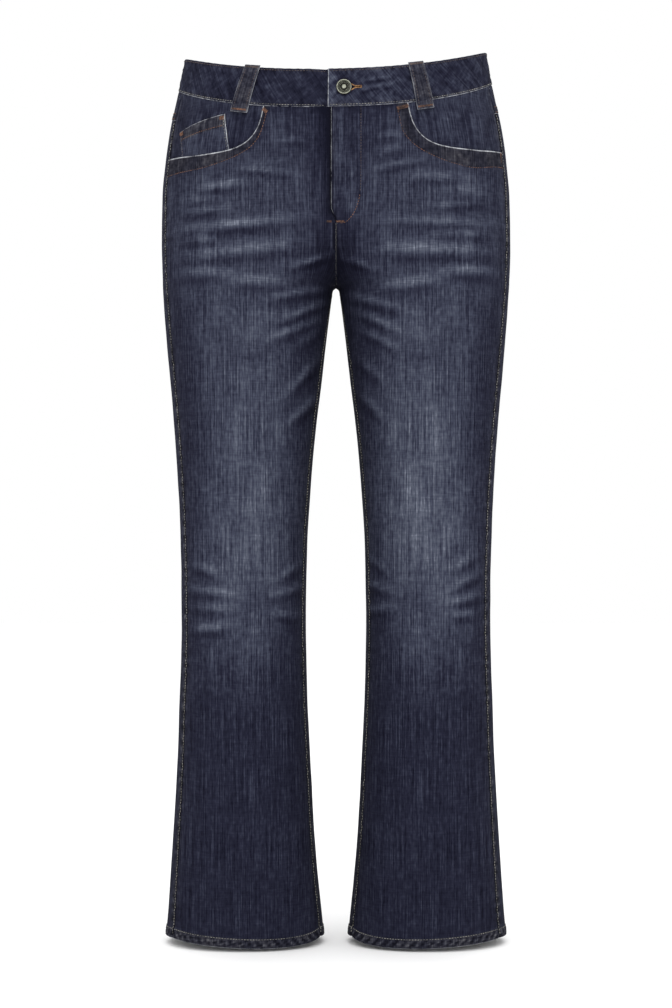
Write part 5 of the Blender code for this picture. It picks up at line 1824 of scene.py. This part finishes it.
def stand_on_band(piece, x, share, lift):
    """Turns a piece's z axis out of the band at this place, and moves it there."""
    angle = angle_for_x(x)
    spot, out = band_spot(np.array([angle]), np.array([share]), np.array([lift]))
    across = unit(band_point(np.array([angle - 0.01]), np.array([share])) - spot)
    across = unit(across - out * (across * out).sum())
    turned = Matrix((across[0], np.cross(out[0], across[0]), out[0])).transposed()
    piece.data.transform(Matrix.Translation(spot[0]) @ turned.to_4x4())


def waist_button():
    """The cap, its shank through both layers of the band, and the tack behind."""
    back = -BAND_THICK - SEAM_GAP - BAND_THICK - 0.0008
    shank = disc(SHANK[0], 0.0006 - back, back, SHANK[1])
    rivet = disc(TACK_HEAD[0], 0.0009, back - 0.0008, TACK_HEAD[1])
    button = as_one("waist_button", [turn_cap(), *beads(), shank, rivet], PLATING)
    high = np.empty((len(button.data.vertices), 3))
    button.data.vertices.foreach_get("co", high.ravel())
    far = np.hypot(high[:, 0], high[:, 1])
    hollow = np.interp(high[:, 2], HOLLOW_HEIGHTS, HOLLOW_DARK)
    hollow = hollow + 0.25 * hill(far - HOLLOW_RING, HOLLOW_RING_WIDE)
    layer = button.data.attributes.new("hollow", "FLOAT", "POINT")
    layer.data.foreach_set("value", hollow)
    stand_on_band(button, BUTTON_X, 0.5, BAND_PROUD + 0.0004)
    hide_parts("waist_button")
    print("button:", len(button.data.polygons), "faces")


waist_button()

# %% [markdown]
# The teeth are one small block with rounded ends, copied up both sides of the chain half
# a step apart, as a real chain meshes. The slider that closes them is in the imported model
# already, and only takes the plating.

# %% Zip teeth
TOOTH = (0.0024, 0.0011, 0.0010)
TOOTH_STEP, TOOTH_EDGE = 0.0022, 0.00025
CHAIN_OUT, CHAIN_HALF = ZIP_OUT + 0.0006, 0.0011
CHAIN_FROM, CHAIN_SHORT = 0.002, 0.012


def zip_teeth():
    """Both sides of the chain, half a step apart."""
    bpy.ops.object.select_all(action="DESELECT")
    bpy.ops.mesh.primitive_cube_add(size=1.0)
    tooth = bpy.context.object
    bpy.ops.object.mode_set(mode="EDIT")
    bpy.ops.mesh.select_all(action="SELECT")
    bpy.ops.transform.resize(value=TOOTH)
    bpy.ops.mesh.bevel(offset=TOOTH_EDGE, segments=1)
    bpy.ops.object.mode_set(mode="OBJECT")
    points, out, _ = behind_fly(-CHAIN_HALF, CHAIN_HALF, ZIP_UP, 2, 400)
    run = run_along(points[:, 0])
    copies = []
    for k, s in enumerate(np.arange(CHAIN_FROM, run[-1] - CHAIN_SHORT, TOOTH_STEP / 2)):
        row, half = int(np.searchsorted(run, s)), k % 2
        up = unit(points[row + 1, half] - points[row - 1, half])
        n = out[row, half]
        copy = tooth.copy()
        copy.data = tooth.data.copy()
        turn = Matrix((np.cross(up, n), up, n)).transposed().to_4x4()
        spot = points[row, half] + n * CHAIN_OUT
        copy.data.transform(Matrix.Translation(spot) @ turn)
        bpy.context.scene.collection.objects.link(copy)
        copies.append(copy)
    bpy.data.objects.remove(tooth)
    teeth = as_one("zip_teeth", copies, PLATING)
    print(len(copies), "teeth")


zip_teeth()
for piece in list(bpy.data.objects):
    if piece.type == "MESH" and piece.name.split(".")[0] == "zip_slider":
        for place_in in piece.material_slots:
            place_in.material = PLATING

# %% [markdown]
# ## Sewing
#
# Each stitch is a short round thread that dips into the cloth at both ends. Its points
# are dropped onto the finished cloth along the surface's own direction, so the thread
# follows every pucker. Bar tacks and the buttonhole are the same thread laid side by
# side, across the line instead of along it.

# %% Thread
THREAD, FINE_THREAD = 0.0006, 0.0005
STITCH, STITCH_STEP, STITCH_FROM, TACK_STEP = 0.0024, 0.0032, 0.0006, 0.0008
STATIONS = np.array([0.0, 0.2, 0.5, 0.8, 1.0])
STATION_HEIGHT = np.array([-0.00035, 0.00012, 0.00018, 0.00012, -0.00035])
STATION_WIDTH = np.array([0.6, 1.0, 1.05, 1.0, 0.6])
THREAD_SIDES = 5
SPOOLS = {"rust": [], "brown": [], "sand": [], "tan": []}
TREES = {}


def tree_of(piece):
    """A piece's faces, sorted so that a ray finds them fast."""
    if piece.name not in TREES:
        verts = [v.co for v in piece.data.vertices]
        faces = [tuple(f.vertices) for f in piece.data.polygons]
        TREES[piece.name] = BVHTree.FromPolygons(verts, faces)
    return TREES[piece.name]


def strands(spool, piece, starts, ends, outs, thick=THREAD):
    """Short threads from starts to ends, lying on a piece of cloth."""
    t = STATIONS[None, :, None]
    at = starts[:, None] * (1 - t) + ends[:, None] * t
    outs = unit(outs)[:, None]
    tree = tree_of(piece)
    for i in range(len(at)):
        out = Vector(outs[i, 0])
        for j in range(len(STATIONS)):
            hit = tree.ray_cast(Vector(at[i, j]) + out * 0.006, -out, 0.013)[0]
            if hit is not None:
                at[i, j] = hit
    core = at + outs * STATION_HEIGHT[None, :, None]
    side = unit(np.cross(unit(ends - starts)[:, None], outs))
    around = turns(np.arange(THREAD_SIDES), THREAD_SIDES)
    half = (STATION_WIDTH * thick / 2)[None, :, None, None]
    circle = side[:, :, None] * np.cos(around)[:, None]
    circle = circle + outs[:, :, None] * np.sin(around)[:, None]
    SPOOLS[spool].append(core[:, :, None] + circle * half)


def along_line(points, outs, at):
    """Points and directions at these distances along a line."""
    run = run_along(points)
    return tuple(
        np.stack([np.interp(at, run, part) for part in grid.T], axis=-1)
        for grid in (points, outs)
    )


def length_of(points):
    """The length of a line."""
    return np.linalg.norm(np.diff(points, axis=0), axis=1).sum()


def sew(spool, piece, line, thick=THREAD):
    """A row of stitches along a line of points with their directions."""
    points, outs = line
    starts = np.arange(STITCH_FROM, length_of(points) - STITCH, STITCH_STEP)
    first, out = along_line(points, outs, starts)
    last, _ = along_line(points, outs, starts + STITCH)
    strands(spool, piece, first, last, out, thick)


def tack(spool, piece, line, wide):
    """Threads laid across a line, side by side."""
    points, outs = line
    at = np.arange(0.0, length_of(points), TACK_STEP)
    middle, out = along_line(points, outs, at)
    ahead, _ = along_line(points, outs, at + TACK_STEP)
    behind, _ = along_line(points, outs, at - TACK_STEP)
    across = unit(np.cross(unit(ahead - behind), out)) * wide / 2
    strands(spool, piece, middle - across, middle + across, out)


print("thread", THREAD * 1000, "mm thick")

# %% Lines to sew along
def leg_line(face, side, distance, z, from_centre=False):
    """A line at this distance from the outseam, or from the centre seam or inseam."""
    z = np.asarray(z, float)
    full = full_run(face, side, z)
    u = u_for(face, side, full - distance if from_centre else distance + 0 * z, z)
    return spot_on(face, side, u, z)


def flat_line(side, line):
    """A front line of (distance along the cloth, height), laid on the leg."""
    u = u_for("front", side, np.maximum(line[:, 0], 1e-5), line[:, 1])
    return spot_on("front", side, u, line[:, 1])


def moved_in(line, inset):
    """The same line in the flat, this far to its right."""
    along = unit(np.diff(line, axis=0))
    right = np.stack([along[:, 1], -along[:, 0]], axis=-1)
    both = unit(np.concatenate([right[:1], right[:-1] + right[1:], right[-1:]]))
    share = (both * np.concatenate([right[:1], right])).sum(-1, keepdims=True)
    return line + both * inset / share


print("the fly tail is", round(length_of(FLY_TAIL) * 1000), "mm long")

# %% [markdown]
# The legs come first. Their side and inner seams show one row on the back piece; the
# seat seam, the yokes and the back pockets have two, and the pocket mouths a bar tack.

# %% Stitches of the legs
OUTSEAM_ROW, LEG_FOOT, HIP_TACK = 0.0014, -1.003, 0.0110
for side in (1, -1):
    back, front, yoke = (PIECES[k, side] for k in ("back", "front", "yoke"))
    seat_top = float(yoke_edge(side, np.array([0.0]))[0])
    down = np.linspace(LEG_FOOT, seat_top, 400)
    sew("sand", back, leg_line("back", side, OUTSEAM_ROW, down))
    down = np.linspace(LEG_FOOT, CROTCH - 0.004, 400)
    sew("sand", back, leg_line("back", side, OUTSEAM_ROW, down, True))
    for face, piece in (("front", front), ("back", back)):
        u = np.linspace(0.004, 0.996, 120)
        z = hem_height(face, u) + HEM_STITCH
        sew("sand", piece, spot_on(face, side, u, z))
    # the pocket's strip has a bar tack at the waist, and the left one another at the hip
    stitch, mouth = MOUTH_STITCH[side], MOUTHS[side]
    sew("rust", front, flat_line(side, stitch))
    ends = np.linspace(mouth[-1] - (-0.0008, 0.0035), stitch[-1] - (0.0, 0.0035), 8)
    tack("rust", front, flat_line(side, ends), 0.0050)
    if side == 1:
        low = mouth[0, 1] - 0.0012 - np.linspace(0, HIP_TACK, 9)
        tack("rust", front, leg_line("front", side, 0.0055, low), 0.0030)
    for row in LAP_ROWS:
        u = np.linspace(0.006, 0.994, 90)
        z = yoke_edge(side, u) + row
        sew("rust", yoke, spot_on("back", side, u, z))
        line = rounded(moved_in(pocket_outline(), row), 160)
        half = np.interp(-line[:, 1], *BACK_POCKET.T)
        spots = pocket_spot(side, -line[:, 1], line[:, 0] / half)[:2]
        sew("rust", PIECES["pocket", side], spots)
    mouth_row = BACK_POCKET[0, 0] + POCKET_MOUTH_ROW
    across = np.linspace(-0.96, 0.96, 60)
    sew("rust", PIECES["pocket", side], pocket_spot(side, mouth_row, across)[:2])
    for corner in (-1, 1):
        across = corner * np.linspace(0.915, 0.985, 6)
        tack("rust", PIECES["pocket", side],
             pocket_spot(side, BACK_POCKET[0, 0] + 0.004, across)[:2], 0.0065)
for row in LAP_ROWS:
    down = np.linspace(CROTCH + 0.035, float(yoke_edge(1, np.ones(1))[0]), 120)
    sew("rust", PIECES["back", 1], leg_line("back", 1, row, down, True))

print(sum(len(g) for g in SPOOLS["rust"]), "rust stitches in the legs")

# %% [markdown]
# The fly has one curved row. The band has a row along each edge, and the buttonhole has
# threads laid across both lips, so close that they make a solid cord.

# %% Stitches of the fly, the band, the loops and the coin pocket
FLY_TACK = ((-0.0100, -0.0052), (-0.0050, 0.0090))
FLY_TACK_AT = -0.2022


def front_line(side, xs, z):
    """A line across a front piece, given by its x and its heights."""
    return spot_on("front", side, u_at("front", side, z, side * np.asarray(xs)), z)


fly = rounded(FLY_STITCH, 120)
upright = fly[:, 1] > -0.172
for spool, part in (("brown", fly[upright]), ("rust", fly[~upright])):
    sew(spool, PIECES["front", 1], front_line(1, part[:, 0], part[:, 1]))
for side, reach in zip((-1, 1), FLY_TACK):
    xs = np.linspace(*reach, 12)
    tack("rust", PIECES["front", side], front_line(side, xs, xs * 0 + FLY_TACK_AT), 0.0026)

start = angle_for_x(LAP_END_X)
round_waist = np.linspace(start - 0.012, start - 2 * math.pi + 0.02, 500)
for from_foot, spool in ((BAND_TALL - BAND_HEAD_ROW, "brown"), (BAND_FOOT_ROW, "sand")):
    sew(spool, PIECES["band"], band_spot(round_waist, from_foot / BAND_TALL))

# the buttonhole: threads side by side along both lips, which part towards the eye
LIP_LONG, LIP_STEP, EYE_OPEN = 0.0014, 0.00042, 0.0022
xs = np.arange(BUTTON_X + 0.0052, BUTTON_X + HOLE[2] + 0.0006, LIP_STEP)
angles = np.array([angle_for_x(x) for x in xs])
part = smooth((BUTTON_X + 0.0135 - xs) / 0.0065) * EYE_OPEN
for lip in (-1, 1):
    inside = 0.5 + lip * (0.0001 + part) / BAND_TALL
    outside = inside + lip * LIP_LONG / BAND_TALL
    (first, out), (last, _) = band_spot(angles, inside), band_spot(angles, outside)
    strands("tan", PIECES["band"], first, last, out)
slit_end = np.linspace(0.5 - LIP_LONG / BAND_TALL, 0.5 + LIP_LONG / BAND_TALL, 6)
tack("tan", PIECES["band"], band_spot(angles[-1:].repeat(6), slit_end), 0.0016)

for loop in LOOPS:
    cloth_loop = PIECES[loop[0]]
    t = np.linspace(0.03, 0.97, 40)
    for across in LOOP_ROWS:
        sew("brown", cloth_loop, loop_spot(loop, t, across), thick=FINE_THREAD)
    for t, spool in ((0.055, "rust"), (0.955, "brown")):
        across = np.linspace(-0.42, 0.42, 12)
        tack(spool, cloth_loop, loop_spot(loop, t, across), 0.0026)

coin = PIECES["coin"]
sew("rust", coin, coin_spot(np.linspace(0.02, 0.98, 40), 1 - COIN_ROW / COIN_TALL)[:2])
row = COIN_SIDE_ROW / COIN_WIDE
for across, spool in ((row, "brown"), (1 - row, "sand")):
    sew(spool, coin, coin_spot(across, np.linspace(0.02, 0.97, 40))[:2], thick=FINE_THREAD)
for reach in ((0.015, 0.095), (0.905, 0.985)):
    tack("rust", coin, coin_spot(np.linspace(*reach, 8), 0.92)[:2], 0.0055)

print(sum(len(g) for g in SPOOLS["tan"]), "threads round the buttonhole")

# %% [markdown]
# All the stitches from one spool become one mesh, because thousands of tiny pieces would
# be slow to render. Each is a tube of five sides, which looks round at this size.

# %% Threads as meshes
THREADS = {
    # spool: dark, light
    "rust": ((0.040, 0.026, 0.022, 1), (0.230, 0.112, 0.068, 1)),
    "brown": ((0.032, 0.025, 0.025, 1), (0.130, 0.100, 0.092, 1)),
    "sand": ((0.055, 0.056, 0.055, 1), (0.350, 0.340, 0.305, 1)),
    "tan": ((0.085, 0.040, 0.016, 1), (0.470, 0.260, 0.115, 1)),
}


def thread_finish(name, dark, pale):
    """Cotton thread: fluffy, and worn pale in places."""
    paint = Paint(name, Specular_IOR_Level=0.15)
    x, y, z = paint.split(paint.node("ShaderNodeTexCoord", out="Object"))
    fluff = paint.noise(x * 900.0, y * 900.0, z * 900.0, 2.0)
    age = paint.noise(x * 90.0, y * 90.0, z * 90.0, 6.0)
    colour = paint.mix(((fluff + age) * 2.6 - 2.1).clamp(), dark, pale)
    return paint.finish(colour, 0.8 - age * 0.1, fluff, 0.0001, 0.6)


def threads(spool, finish):
    """One mesh of all the stitches sewn from a spool."""
    grids = np.concatenate(SPOOLS[spool])
    count, rings, sides = grids.shape[:3]
    a = np.arange(sides)
    faces = [[j * sides + k, j * sides + (k + 1) % sides, (j + 1) * sides + (k + 1) % sides,
              (j + 1) * sides + k] for j in range(rings - 1) for k in range(sides)]
    caps = [list(a[::-1]), list(a + (rings - 1) * sides)]
    whole = faces + caps
    every = [[v + i * rings * sides for v in face] for i in range(count) for face in whole]
    mesh = bpy.data.meshes.new(f"stitches_{spool}")
    mesh.from_pydata(grids.reshape(-1, 3), [], every)
    mesh.polygons.foreach_set("use_smooth", np.ones(len(every), bool))
    mesh.materials.append(finish)
    link(mesh.name, mesh)
    each = 2 * sides * (rings - 1) + 2 * (sides - 2)
    print(spool, count, "stitches,", count * each, "triangles")


for spool, (dark, pale) in THREADS.items():
    threads(spool, thread_finish(f"{spool} thread", dark, pale))

# %% [markdown]
# ## Light and floor
#
# A catalogue picture on white: light comes from all round, a little more from above and
# in front, and a white floor close under the hems catches only a soft shade beside each.

# %% Light and floor
FLOOR = -1.0170


def light(name, size, power, where, turn):
    """One soft rectangular lamp."""
    lamp = bpy.data.lights.new(name, "AREA")
    lamp.shape = "RECTANGLE"
    lamp.size, lamp.size_y = size
    lamp.energy = power
    stand = bpy.data.objects.new(name, lamp)
    stand.location, stand.rotation_euler = where, turn
    bpy.context.scene.collection.objects.link(stand)


world = bpy.data.worlds.new("studio")
world.use_nodes = True
world.node_tree.nodes["Background"].inputs["Color"].default_value = (1, 1, 1, 1)
world.node_tree.nodes["Background"].inputs["Strength"].default_value = 1.0
bpy.context.scene.world = world
bpy.context.scene.view_settings.view_transform = "Standard"
light("front light", (2.6, 2.6), 45.0, (0.0, -2.6, 1.1), (math.radians(62), 0, 0))
light("floor light", (3.0, 3.0), 30.0, (0.0, 0.6, 1.9), (0, 0, 0))
paper = Paint("white paper", Base_Color=(0.985, 0.985, 0.985, 1), Roughness=1.0)
bpy.ops.object.select_all(action="DESELECT")
bpy.ops.mesh.primitive_plane_add(size=14.0, location=(0.0, 0.0, FLOOR))
floor = bpy.context.object
floor.name = "floor"
floor.data.materials.append(paper.material)
print("floor", FLOOR, "m")
